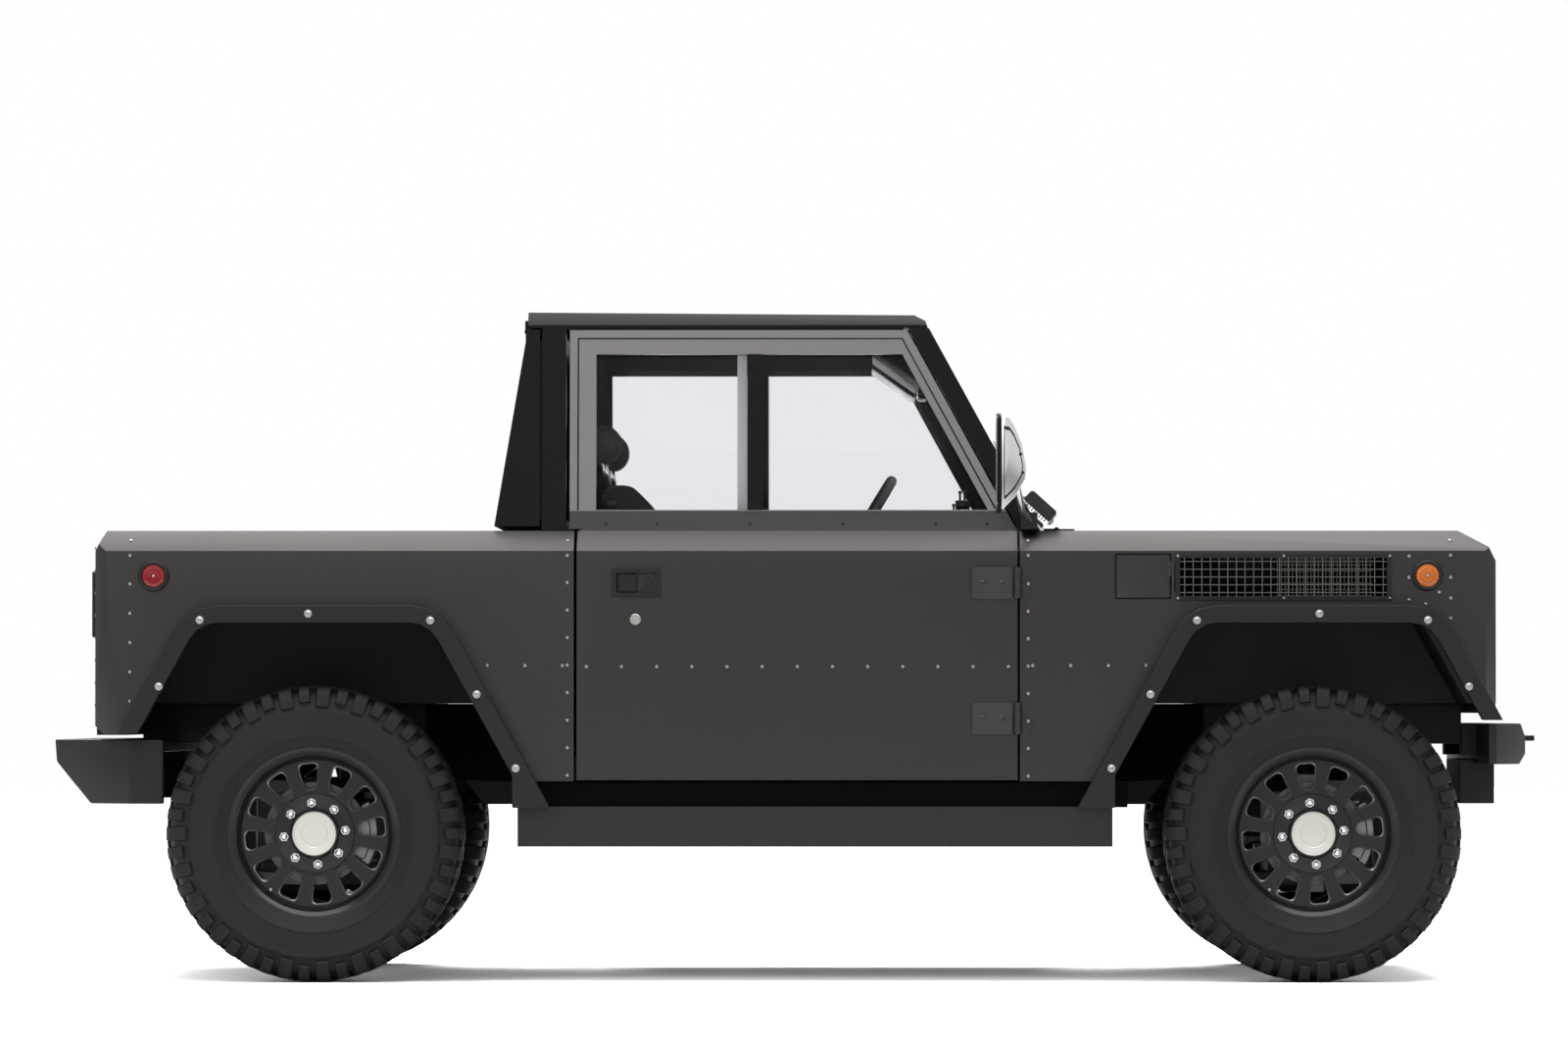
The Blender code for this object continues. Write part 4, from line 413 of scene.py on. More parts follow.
def turnedShape(profile, steps, matrix=Matrix()):
    # turns a closed outline of (radius, height) points round the matrix's own Z axis
    count = len(profile)
    verts = [matrix @ Vector((radius * math.cos(angle), radius * math.sin(angle), height))
             for angle in (2 * math.pi * step / steps for step in range(steps)) for radius, height in profile]
    onAxis = [profile[k][0] == 0 and profile[(k + 1) % count][0] == 0 for k in range(count)]
    return verts, [(s * count + k, s * count + (k + 1) % count, (s + 1) % steps * count + (k + 1) % count,
                    (s + 1) % steps * count + k) for s in range(steps) for k in range(count) if not onAxis[k]]


def prismShape(outline, low, high, matrix=Matrix()):
    # a flat outline of (x, y) points, raised from low to high along the matrix's own Z axis
    verts = [matrix @ Vector((x, y, z)) for z in (low, high) for x, y in outline]
    return verts, capFaces(2, len(outline)) + ringFaces(2, len(outline))


def frameShape(outer, inner, low, high, matrix=Matrix()):
    # a flat frame between two outlines of as many points, raised from low to high
    rings = ((outer, low), (outer, high), (inner, high), (inner, low))
    return [matrix @ Vector((*p, z)) for ring, z in rings for p in ring], ringFaces(4, len(outer), closed=True)


def domeProfile(radius, height, rings=3, foot=0.0, lift=0.0):
    # a low dome closed underneath, for heads and lenses
    points = [(0, -foot), (radius, -foot)]
    for k in range(rings):
        angle = math.pi / 2 * k / rings
        points.append((radius * math.cos(angle), height * math.sin(angle)))
    return [(r, h + lift) for r, h in points + [(0, height)]]


def tubeShape(points, radius, edges=10):
    # a closed tube with flat ends along a list of points
    points = [Vector(p) for p in points]
    last, verts, normal = len(points) - 1, [], None
    for index, point in enumerate(points):
        ahead = (points[min(index + 1, last)] - points[max(index - 1, 0)]).normalized()
        normal = normal or ahead.orthogonal().normalized()
        normal = (normal - ahead * normal.dot(ahead)).normalized()
        other = ahead.cross(normal)
        for step in range(edges):
            angle = 2 * math.pi * step / edges
            verts.append(point + radius * (math.cos(angle) * normal + math.sin(angle) * other))
    return verts, ringFaces(len(points), edges) + capFaces(len(points), edges)


def roundedOutline(width, height, radius, y=0.0, z=0.0, per=5):
    points = []
    for turn, (sx, sy) in enumerate(((1, 1), (-1, 1), (-1, -1), (1, -1))):
        cx, cy = sx * (width / 2 - radius), sy * (height / 2 - radius)
        for k in range(per):
            angle = math.pi / 2 * (turn + k / (per - 1))
            points.append((cx + radius * math.cos(angle) + y, cy + radius * math.sin(angle) + z))
    return points


def rectangle(left, low, right, top):
    return [(left, low), (right, low), (right, top), (left, top)]


def band(points, width):
    # an open strip of one width along (x, z) points
    left, right, points = [], [], [Vector(point) for point in points]
    for k, here in enumerate(points):
        before = here - points[k - 1] if k else points[1] - here
        after = points[k + 1] - here if k + 1 < len(points) else before
        before, after = before.normalized(), after.normalized()
        normal = Vector((-before.y, before.x))
        turn = (normal + Vector((-after.y, after.x))).normalized()
        reach = width / 2 / max(turn.dot(normal), 0.3)
        left.append(here + turn * reach)
        right.append(here - turn * reach)
    return left + right[::-1]


def acrossMatrix(side, y=0.0):
    # outlines given as (x, z) are raised along +Y on the left side, or -Y on the right
    return Matrix.Translation((0, y, 0)) @ Matrix(((1, 0, 0), (0, 0, side), (0, 1, 0))).to_4x4()


def endMatrix(x, way=1):
    # outlines given as (y, z) are raised forward from world X, or rearward where way is -1
    return Matrix.Translation((x, 0, 0)) @ Matrix(((0, 0, way), (1, 0, 0), (0, 1, 0))).to_4x4()


def shifted(outline):
    return [(x + shiftX, z) for x, z in outline]


# One geometry node tree puts a copy of a small part on each point of a mesh
def partOnPointsTree():
    tree = bpy.data.node_groups.new("partOnPoints", "GeometryNodeTree")
    kinds = {"Geometry": "Geometry", "Part": "Object", "Size": "Float", "Finish": "Material"}
    named = {label: tree.interface.new_socket(name=label, in_out="INPUT",
                                              socket_type="NodeSocket" + kind).identifier
             for label, kind in kinds.items()}
    tree.interface.new_socket(name="Geometry", in_out="OUTPUT", socket_type="NodeSocketGeometry")
    given, end = tree.nodes.new("NodeGroupInput").outputs, tree.nodes.new("NodeGroupOutput")
    part = addNode(tree, "GeometryNodeObjectInfo", {"Object": given["Part"]})
    aim, across = (addNode(tree, "GeometryNodeInputNamedAttribute", {"Name": label}, data_type="FLOAT_VECTOR")
                   for label in ("aim", "across"))
    turn = addNode(tree, "FunctionNodeAxesToRotation",
                   {0: aim.outputs["Attribute"], 1: across.outputs["Attribute"]},
                   primary_axis="Z", secondary_axis="X")
    put = addNode(tree, "GeometryNodeInstanceOnPoints", {
        "Points": given["Geometry"], "Instance": part.outputs["Geometry"], "Rotation": turn.outputs["Rotation"],
        "Scale": given["Size"]})
    real = addNode(tree, "GeometryNodeRealizeInstances", {0: put.outputs["Instances"]})
    done = addNode(tree, "GeometryNodeSetMaterial", {"Geometry": real.outputs[0], "Material": given["Finish"]})
    fill(tree, end, {0: done.outputs[0]})
    return tree, named


partOnPoints, partSockets = partOnPointsTree()
smallParts = {}


def smallPart(name, shape, bevel=0):
    # a part made once at the origin, standing on Z, for partOnPoints to copy
    smallParts[name] = meshObject(name, shape)
    if bevel:
        roundEdges(smallParts[name], bevel, 1)
    else:
        sharpen(smallParts[name], 30)


def placeParts(name, part, spots, look, body="truck_body", size=1.0):
    # spots are (place, direction away from the surface, direction along it)
    mesh = bpy.data.meshes.new(name)
    mesh.from_pydata([tuple(spot[0]) for spot in spots], [], [])
    for label, index in (("aim", 1), ("across", 2)):
        values = mesh.attributes.new(label, "FLOAT_VECTOR", "POINT")
        values.data.foreach_set("vector", [c for spot in spots for c in spot[index]])
    mesh.materials.append(materials[look])
    piece = newObject(name, mesh)
    repeat = modify(piece, "NODES", node_group=partOnPoints)
    for label, value in (("Part", smallParts[part]), ("Size", size), ("Finish", materials[look])):
        repeat[partSockets[label]] = value
    bpy.context.view_layer.update()
    settle(piece)
    for label in ("aim", "across"):
        if label in piece.data.attributes:
            piece.data.attributes.remove(piece.data.attributes[label])
    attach(piece, body)


# Black sill covers over the ends of the frame's outriggers, made darker and duller than the real black part so
# that they also paint the shade of the recess under the doors
sill = sizes(rear=-0.735, front=0.88, low=0.4668, top=0.5335, inner=0.8815, outer=0.885)
for hand, side in sides:
    shape = boxShape((sill.rear, side * sill.inner, sill.low), (sill.front, side * sill.outer, sill.top))
    newPiece("sillCover_" + hand, shape, "underBlack", "frame_black", bevel=0.001)

# The post between each door's two panes is black outside, and the pane behind it has a pale edge strip
paneLean = sizes(out=0.814, height=1.248, slope=-0.0749)  # |y| of the pane's outside at a height, and its slope
strips = {"windowPost_": ((-0.1365, -0.0945), (1.2625, 1.6815), (0.03, 0.04), "roofBlack", "body_paint"),
          "paneEdge_": ((-0.164, -0.1385), (1.264, 1.68), (-0.001, 0.0018), "slidingEdge", "glass")}
for hand, side in sides:
    for name, (run, levels, depth, look, slot) in strips.items():
        corners = [(x, side * (paneLean.out + paneLean.slope * (z - paneLean.height) + out), z)
                   for z in levels for x, out in rectangle(run[0], depth[0], run[1], depth[1])]
        faces = [(0, 1, 2, 3), (7, 6, 5, 4), (0, 4, 5, 1), (1, 5, 6, 2), (2, 6, 7, 3), (3, 7, 4, 0)]
        newPiece(name + hand, (corners, faces), look, slot, f"door_{hand}_body", bevel=0.0006, segments=1)

# Rivets, bolts and hardware on the sides of the body
bpy.context.view_layer.update()
sideFace = 0.915


def onSide(node, side, places):
    # where lines from outside meet a panel, and which way the panel faces there
    spots = []
    for x, z in places:
        hit, place, normal, _ = panels[node].ray_cast(Vector((x + shiftX, side * 2, z)), Vector((0, -side, 0)))
        if not hit:
            raise ValueError(f"nothing of {node} at {x:.3f}, {z:.3f}")
        spots.append((place, normal, forward))
    return spots


def outwardTurn(side):
    # Z out of the side, X forward, Y up on the right side
    return Matrix(((1, 0, 0), (0, 0, side), (0, -side, 0))).to_4x4()


def sideMatrix(x, z, side):
    return Matrix.Translation((x + shiftX, side * sideFace, z)) @ outwardTurn(side)


def column(x, low, step, count):
    return [(x, low + step * index) for index in range(count)]


def row(z, rear, step, count):
    return [(rear + step * index, z) for index in range(count)]


smallPart("rivet", turnedShape([(0, -0.001), (0.005, -0.001), (0.005, 0.0004), (0.0042, 0.0018), (0.0024, 0.0028),
                                (0, 0.003)], 12))
smallPart("buttonBolt", turnedShape([(0, -0.001), (0.0105, -0.001), (0.0105, 0.0012), (0.0078, 0.0016),
                                     (0.0074, 0.004), (0.0056, 0.0058), (0.0034, 0.0062), (0.003, 0.003),
                                     (0, 0.003)], 16))
upperPair = (1.14, 1.18)
rivets = {
    "bedside": column(-1.827, 0.672, 0.0784, 6) + [(-1.827, z) for z in upperPair]
    + column(-0.658, 0.553, 0.0735, 8) + [(-0.658, z) for z in upperPair] + [(-0.771, 0.846), (-0.872, 0.846)],
    "door": row(0.843, -0.6068, 0.0939, 13),
    "fender": column(0.573, 0.551, 0.0733, 8) + [(0.573, z) for z in upperPair] + row(0.846, 0.6864, 0.101, 3)
    + [(1.7005, z) for z in (0.972, 1.026, 1.081, *upperPair)]
    + [(1.5895, z) for z in (1.021, 1.081, 1.138)] + [(1.634, 1.01), (1.67, 1.042)],
}
doubled = {"bedside": [(-0.671, 0.846)], "fender": [(0.585, 0.846)]}  # where a long row meets a column
sillScrews = [(x, 1.226) for x in (-0.556, -0.42, -0.17, 0.078, 0.326, 0.465)]
# flare bolts sit on each leg, each shoulder and the middle of the top, from the axle inward
flareBolts = [(0.54, 0.572), (0.436, 0.769), (0.312, 0.966), (-0.014, 0.984), (-0.303, 0.967), (-0.412, 0.79)]
axleHalf = 1.3335
for hand, side in sides:
    for panel, places in rivets.items():
        node = panel + "_" + hand
        spots = onSide(node, side, places + doubled.get(panel, []))
        placeParts("rivets_" + node, "rivet", spots, "paintedRivet", bodyOf[node])
    spots = onSide("door_" + hand, side, sillScrews)
    placeParts("sillScrews_" + hand, "rivet", spots, "trimBlack", bodyOf["door_" + hand], 0.8)
    for end, inward in (("front", -1), ("rear", 1)):
        places = [(inward * -axleHalf + inward * along, height) for along, height in flareBolts]
        placeParts(f"flareBolts_{end}_{hand}", "buttonBolt", onSide(f"flare_{end}_{hand}", side, places),
                   "rivetSteel")

# Door hinge plates, handle, key lock
hinge = sizes(rear=0.423, front=0.532, height=0.085, levels=(1.0665, 0.7045), proud=0.0088, screws=0.026)
handle = sizes(x=-0.4735, z=1.0665, width=0.133, height=0.078, border=0.0125, paddle=-0.4985, cup=-0.4425)
keyLock = sizes(x=-0.4763, z=0.9688)
handleRing = [(0.0075, -0.021), (0.011, -0.021), (0.0115, -0.015), (0.01, -0.0135), (0.0078, -0.015)]
lockProfile = [(0, -0.002), (0.0142, -0.002), (0.0148, 0.001), (0.013, 0.0028), (0.0105, 0.0028), (0.0095, 0.0012),
               (0.0052, 0.0012), (0.0046, 0.002), (0, 0.002)]
for hand, side in sides:
    body = f"door_{hand}_body"

    def onDoor(name, shape, look, **rest):
        newPiece(name + hand, shape, look, "body_paint", body, **rest)
    plates, screws = [], []
    middle = (hinge.rear + hinge.front) / 2
    for level in hinge.levels:
        outline = roundedOutline(hinge.front - hinge.rear, hinge.height, 0.005)
        plates.append(prismShape(outline, -0.001, hinge.proud, sideMatrix(middle, level, side)))
        screws += [(((middle + shift) + shiftX, side * (sideFace + hinge.proud), level), (0, side, 0), forward)
                   for shift in (-hinge.screws, hinge.screws)]
    onDoor("hingePlates_", plates, "hingeGrey", bevel=0.0012)
    placeParts("hingeScrews_" + hand, "buttonBolt", screws, "hingeGrey", body, 0.85)
    outer = roundedOutline(handle.width, handle.height, 0.006)
    inner = roundedOutline(handle.width - 2 * handle.border, handle.height - 2 * handle.border, 0.004)
    bezel = frameShape(outer, inner, -0.004, 0.0032, sideMatrix(handle.x, handle.z, side))
    onDoor("handleBezel_", bezel, "trimBlack", bevel=0.0009)
    outline, place = roundedOutline(0.05, 0.049, 0.004), sideMatrix(handle.paddle, handle.z, side)
    onDoor("handlePaddle_", prismShape(outline, -0.016, -0.0035, place), "trimBlack", bevel=0.0015)
    onDoor("handleRing_", turnedShape(handleRing, 24, sideMatrix(handle.cup, handle.z, side)), "hingeGrey")
    onDoor("keyLock_", turnedShape(lockProfile, 28, sideMatrix(keyLock.x, keyLock.z, side)), "rivetSteel",
           sharp=30)
print("rivets and door hardware ready")

# Round marker lamps with a rubber bezel
markers = {"rear": (-1.764, 1.085, "lampRed", "lamp_red"), "front": (1.639, 1.086, "lampAmber", "lamp_clear")}
markerBezel = [(0.03, -0.001), (0.0412, -0.001), (0.0418, 0.004), (0.0392, 0.0088), (0.0345, 0.0096),
               (0.0318, 0.0085), (0.0305, 0.006)]
markerLens = [(0, -0.001), (0.0304, -0.001), (0.0304, 0.0062), (0.028, 0.0086), (0.02, 0.0104), (0.0192, 0.0092),
              (0.0176, 0.0092), (0.0168, 0.0108), (0.0085, 0.0114), (0.0078, 0.0088), (0, 0.0088)]
markerCentre = [(0, 0.008), (0.004, 0.008), (0.0036, 0.0108), (0, 0.0114)]
for hand, side in sides:
    for end, (x, z, look, slot) in markers.items():
        place, name = sideMatrix(x, z, side), f"_{end}_{hand}"
        newPiece("markerBezel" + name, turnedShape(markerBezel, 40, place), "trimBlack", "trim_black")
        newPiece("markerLens" + name, turnedShape(markerLens, 40, place), look, slot, sharp=35)
        newPiece("markerCentre" + name, turnedShape(markerCentre, 16, place), "rivetSteel", slot)

# Wire mesh, fins and screws of the side grilles
net = sizes(rear=0.9788, front=1.532, low=1.03, top=1.134, columns=24, rows=5, wire=0.0014, proud=0.0046,
            edge=0.012, finRear=1.235, finFront=1.492, fins=26, finDepth=0.888, slats=3, slatStep=0.0165)
for name, reach in (("meshUpright", 0.052), ("meshRail", 0.2766)):
    smallPart(name, turnedShape([(0, -reach), (net.wire, -reach), (net.wire, reach), (0, reach)], 6))
smallPart("fin", boxShape((-0.0007, -0.013, -0.05), (0.0007, 0.013, 0.05)))
smallPart("slat", boxShape((-0.1285, -0.01, -0.0008), (0.1285, 0.01, 0.0008)))


def evenly(count):
    return [(k + 0.5) / count - 0.5 for k in range(count)]


for hand, side in sides:
    middle = Vector(((net.rear + net.front) / 2 + shiftX, side * (sideFace + net.proud), (net.low + net.top) / 2))
    wide, tall = net.front - net.rear, net.top - net.low
    back = Vector((0, -side * 2 * net.wire, 0))
    step, finMiddle = (net.finFront - net.finRear) / net.fins, (net.finRear + net.finFront) / 2
    low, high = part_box("side_grille_" + hand)
    edgeX, edgeZ = wide / 2 + 0.0062, tall / 2 + 0.0045
    screwY = side * (max(side * low.y, side * high.y) - 0.0006)
    sets = {
        "meshUprights_": ("meshUpright", "meshSteel", [(middle + Vector((wide * s, 0, 0)), upright, forward)
                                                       for s in evenly(net.columns)]),
        "meshRails_": ("meshRail", "meshSteel", [(middle + back + Vector((0, 0, tall * s)), forward, upright)
                                                 for s in evenly(net.rows)]),
        "coolingFins_": ("fin", "finBrass",
                         [((net.finRear + step * (k + 0.5) + shiftX, side * net.finDepth, middle.z),
                           upright, forward) for k in range(net.fins)]),
        "coolingSlats_": ("slat", "finBrass", [
            ((finMiddle + shiftX, side * net.finDepth, middle.z + net.slatStep * k), upright, forward)
            for k in range(-net.slats, net.slats + 1)]),
        "grilleScrews_": ("rivet", "paintedRivet",
                          [((middle.x + a * edgeX, screwY, middle.z + b * edgeZ), (0, side, 0),
                            forward) for a in (-1, 0, 1) for b in (-1, 1)])}
    for name, (part, look, spots) in sets.items():
        placeParts(name + hand, part, spots, look, size=0.8 if part == "rivet" else 1.0)
    outline = rectangle(low.x, low.z, high.x, high.z)
    opening = rectangle(low.x + net.edge, low.z + net.edge, high.x - net.edge, high.z - net.edge)
    place = acrossMatrix(side, side * (sideFace + 0.0002))
    newPiece("grilleFrame_" + hand, frameShape(outline, opening, -0.006, 0.0055, place), "trimBlack", "trim_black",
             bevel=0.001, replaced="side_grille_" + hand)
    # a near-black wall behind the fins and mesh: painted shade for the dark space behind the grille
    wall = boxShape((low.x + 0.004, side * 0.868, low.z + 0.002), (high.x - 0.004, side * 0.8705, high.z - 0.002))
    newPiece("grilleBackWall_" + hand, wall, "underBlack", "trim_black")
print("lamps and grilles ready")

# Near-black walls inside the wheel arches, painted shade for the dark hollows there, clear of the steered tyres
archShade = sizes(inner=0.4, outer=0.404, low=0.537, top=0.744, near=0.78, far=1.06)
for hand, side in sides:
    walls = [boxShape((sign * archShade.near + shiftX, side * archShade.inner, archShade.low),
                      (sign * archShade.far + shiftX, side * archShade.outer, archShade.top)) for sign in (1, -1)]
    newPiece("splashWalls_" + hand, walls, "underBlack", "frame_black", bevel=0.0012)

# Wheels: tyre carcass, tread, rim with windows, nuts and hub cap
wheel = sizes(
    tyreRadius=0.397, treadDepth=0.013, halfWidth=0.142, beadRadius=0.2165, lugs=46, blockOut=0.0345,
    blockShift=0.4, rimFace=0.066, rimDepth=0.014, faceIn=0.104, faceOut=0.2, windows=12, turn=6.0,
    windowIn=0.118, windowOut=0.187, windowFoot=0.015, windowHead=0.027, corner=0.0125, chamfer=0.004,
    flange=0.232, rimHalf=0.12, nuts=8, nutCircle=0.0825, nutFoot=0.0722, capRadius=0.06, capFace=0.108,
    valveAngle=232, trackHalf=0.8125)
axles = (("front", 1.3745), ("rear", -1.2925))


def around(angle, radius=1.0, height=0.0):
    return Vector((radius * math.cos(angle), radius * math.sin(angle), height))


def wheelMatrix(x, side):
    # the wheel's own Z axis points away from the truck
    return Matrix.Translation((x, side * wheel.trackHalf, wheel.tyreRadius)) @ outwardTurn(side)


def tyreProfile():
    # half outline from the bead to the tread, with two plain raised bands on the sidewall
    wide, crown = wheel.halfWidth, wheel.tyreRadius - wheel.treadDepth
    half = [(wheel.beadRadius, 0.1095), (0.2335, 0.1225), (0.245, 0.131), (0.258, 0.1365), (0.2595, 0.1385),
            (0.265, 0.1398), (0.2665, 0.1385), (0.285, wide - 0.001), (0.305, wide), (0.325, wide - 0.0012),
            (0.3265, wide - 0.0002), (0.331, wide - 0.0012), (0.3325, wide - 0.0032), (0.348, 0.1345),
            (0.365, 0.126), (0.377, 0.112), (crown, 0.085)]
    return half + [(crown + 0.0015, 0.0)] + [(radius, -height) for radius, height in reversed(half)]


def shoulderLug(width, reach, centre=0.3, ease=0.0025, shrink=0.0035):
    # a lug that wraps over the shoulder, seen along the direction of travel
    outline = [(0.072, 0.381), (0.072, 0.3955), (0.112, 0.3945), (0.1285, 0.385), (0.14, 0.366),
               (0.1419, reach + 0.004), (0.1395, reach), (0.133, reach + 0.002), (0.118, 0.368)]
    verts = []
    for place, low in ((-width / 2, shrink), (-width / 2 + ease, 0), (width / 2 - ease, 0), (width / 2, shrink)):
        for out, up in outline:
            length = math.hypot(out, up - centre)
            share = (length - low) / length
            verts.append((place, out * share, (up - centre) * share + centre))
    return verts, ringFaces(4, len(outline)) + capFaces(4, len(outline))


def treadBlock(mirror):
    # an arrow-shaped block for the middle of the tread, with a narrower top
    outline = [(-0.021, -0.026), (0.004, -0.03), (0.02, -0.014), (0.012, 0.004), (0.021, 0.022), (0.002, 0.031),
               (-0.018, 0.02), (-0.009, 0.0)]
    rings = ((1, 1, -0.015), (0.97, 0.97, -0.0018), (0.88, 0.9, 0))
    verts = [(x * long, y * mirror * wide, z) for long, wide, z in rings for x, y in outline]
    return verts, capFaces(3, len(outline)) + ringFaces(3, len(outline))


def roundedWindow(per=5):
    # a window's outline as (radius, sideways) points with round corners
    corners = [Vector(p) for p in ((wheel.windowIn, -wheel.windowFoot), (wheel.windowOut, -wheel.windowHead),
                                   (wheel.windowOut, wheel.windowHead), (wheel.windowIn, wheel.windowFoot))]
    reach, points = wheel.corner * 1.25, []
    for index, here in enumerate(corners):
        before = here + (corners[index - 1] - here).normalized() * reach
        after = here + (corners[(index + 1) % 4] - here).normalized() * reach
        points += [before * (1 - t) ** 2 + here * 2 * t * (1 - t) + after * t ** 2
                   for t in (k / (per - 1) for k in range(per))]
    return points


def rimFaceShape(matrix):
    # the disc with its windows: each sector is rings of quads from its edge into its window and out behind
    window = [(radius, sideways / radius) for radius, sideways in roundedWindow()]
    inner, outer, half = wheel.faceIn, wheel.faceOut, math.pi / wheel.windows
    middle, reach = (inner + outer) / 2, (outer - inner) / 2
    border, grown = [], []
    for radius, angle in window:
        along = radius - middle
        share = min(reach / max(abs(along), 1e-9), half / max(abs(angle), 1e-9))
        border.append((middle + along * share, angle * share))
        away = Vector((along, angle * middle)).normalized() * wheel.chamfer
        grown.append((radius + away.x, angle + away.y / middle))
    for corner in rectangle(inner, -half, outer, half):
        nearest = min(range(len(border)), key=lambda i: abs(border[i][0] - corner[0]) / reach
                      + abs(border[i][1] - corner[1]) / half)
        border[nearest] = corner
    top, back = wheel.rimFace, wheel.rimFace - wheel.rimDepth
    rings = ((border, top), (grown, top), (window, top - wheel.chamfer), (window, back), (border, back))
    verts, faces, count = [], [], len(window)
    for sector in range(wheel.windows):
        turn, start = math.radians(wheel.turn) + 2 * half * sector, len(verts)
        verts += [matrix @ around(turn + a, r, height) for ring, height in rings for r, a in ring]
        for i in range(count):
            after = (i + 1) % count
            for a, b in ((start + ring * count + i, start + ring * count + after) for ring in range(4)):
                faces.append((a, b, b + count, a + count))
            ends = (border[i][0], border[after][0])
            if max(ends) < inner + 1e-6 or min(ends) > outer - 1e-6:
                faces.append((start + i, start + 4 * count + i, start + 4 * count + after, start + after))
    return verts, faces


def rimProfile():
    # the barrel and both lips, as one closed ring
    bead, half, lip = wheel.beadRadius - 0.001, wheel.rimHalf, wheel.flange
    return [(wheel.faceOut - 0.0015, wheel.rimFace - 0.003), (0.203, 0.07), (0.206, 0.096), (0.2085, 0.106),
            (0.215, 0.112), (0.22, 0.1165), (0.2262, half), (lip - 0.0012, half), (lip, half - 0.0012),
            (lip, half - 0.0095), (bead, half - 0.0105), (bead, 0.09), (bead - 0.019, 0.07), (bead - 0.019, -0.07),
            (bead, -half + 0.0105), (lip, -half + 0.0095), (lip, -half), (0.224, -half), (0.19, -0.075),
            (0.19, 0.04)]


def capProfile():
    edge, out = wheel.capRadius - 0.0005, wheel.capFace
    return [(0, 0.0965), (0.0575, 0.0965), (edge, 0.099), (edge, out - 0.003), (0.0578, out - 0.0008),
            (0.0535, out - 0.0006), (0.0525, out - 0.0022), (0.0365, out - 0.0016), (0.0355, out - 0.0024),
            (0.0335, out - 0.0024), (0.0325, out - 0.0014), (0, out - 0.0008)]


hubProfile = [(0, 0.046), (0.106, 0.046), (0.106, 0.0665), (0.1045, 0.0705), (0.099, 0.072), (0.07, 0.0728),
              (0.066, 0.076), (0.064, 0.098), (0.0625, 0.0995), (0, 0.0995)]
discProfile = [(0.06, 0.004), (0.138, 0.004), (0.138, 0.022), (0.06, 0.022)]
hexagon = [(0.0138 * math.cos(math.pi * k / 3), 0.0138 * math.sin(math.pi * k / 3)) for k in range(6)]
smallPart("wheelNut", joined([prismShape(hexagon, -0.002, 0.0125),
                              turnedShape(domeProfile(0.0098, 0.0085, foot=0.002, lift=0.012), 14)]), bevel=0.0008)
smallPart("wideLug", shoulderLug(0.0375, 0.34))
smallPart("narrowLug", shoulderLug(0.031, 0.352))
smallPart("leftBlock", treadBlock(1))
smallPart("rightBlock", treadBlock(-1))


def makeWheel(end, x, hand, side):
    name, place = f"_{end}_{hand}", wheelMatrix(x, side)
    body, axis, centre = "wheel" + name, place.to_3x3(), place.translation

    def onWheel(piece, shape, look, slot="rim_black", **rest):
        return newPiece(piece + name, shape, look, slot, body, **rest)

    def heading(angle):
        return axis @ Vector((-math.sin(angle), math.cos(angle), 0))
    onWheel("tyreCarcass", turnedShape(tyreProfile(), 2 * wheel.lugs, place), "tyreRubber", "tyre_rubber",
            sharp=40, replaced="tyre" + name)
    spots = {"wideLug": [], "narrowLug": [], "leftBlock": [], "rightBlock": []}
    pitch = 2 * math.pi / wheel.lugs
    for index in range(wheel.lugs):
        for face, shift in ((1, 0.0), (-1, 0.5)):
            angle = (index + shift) * pitch
            lug, block = "wideLug" if index % 2 else "narrowLug", "leftBlock" if face > 0 else "rightBlock"
            spots[lug].append((centre, axis @ around(angle), heading(angle) * face))
            angle += wheel.blockShift * pitch
            radial = axis @ around(angle)
            middle = centre + axis @ Vector((0, 0, face * wheel.blockOut)) + radial * (wheel.tyreRadius - 0.0008)
            spots[block].append((middle, radial, heading(angle)))
    for part, places in spots.items():
        placeParts(part + name, part, places, "tyreRubber", body)
    disc = onWheel("rimFace", rimFaceShape(place), "rimBlack", sharp=30, replaced="rim" + name).data
    disc.materials.append(materials["rivetSteel"])
    inward = place.inverted()
    for face in disc.polygons:
        depth = wheel.rimFace - (inward @ face.center).z
        if wheel.chamfer * 0.1 < depth < wheel.chamfer * 0.9:
            face.material_index = 1
    onWheel("rimBarrel", turnedShape(rimProfile(), 96, place), "rimBlack", sharp=30)
    onWheel("rimCentre", turnedShape(hubProfile, 72, place), "rimBlack", sharp=40)
    onWheel("hubCap", turnedShape(capProfile(), 72, place), "nickel", sharp=30)
    turns = [math.radians(wheel.turn + 360 * index / wheel.nuts) for index in range(wheel.nuts)]
    nuts = [(place @ around(turn, wheel.nutCircle, wheel.nutFoot), axis @ upright, axis @ around(turn))
            for turn in turns]
    placeParts("wheelNuts" + name, "wheelNut", nuts, "chrome", body)
    valve = [place @ around(math.radians(wheel.valveAngle), radius, height)
             for radius, height in ((0.196, 0.066), (0.193, 0.082), (0.189, 0.096))]
    onWheel("valve", tubeShape(valve, 0.0042), "rivetSteel")
    onWheel("brakeDisc", turnedShape(discProfile, 72, place), "brakeDisc", bevel=0.001)


for end, x in axles:
    for hand, side in sides:
        makeWheel(end, x, hand, side)
print("wheels ready")


# Brake callipers behind the wheels, and coil springs round the dampers
def sectorShape(inner, outer, spread, low, high, matrix, steps=12):
    angles = [spread * (k / steps - 0.5) for k in range(steps + 1)]
    outline = [around(a, outer)[:2] for a in angles] + [around(a, inner)[:2] for a in reversed(angles)]
    return prismShape(outline, low, high, matrix)


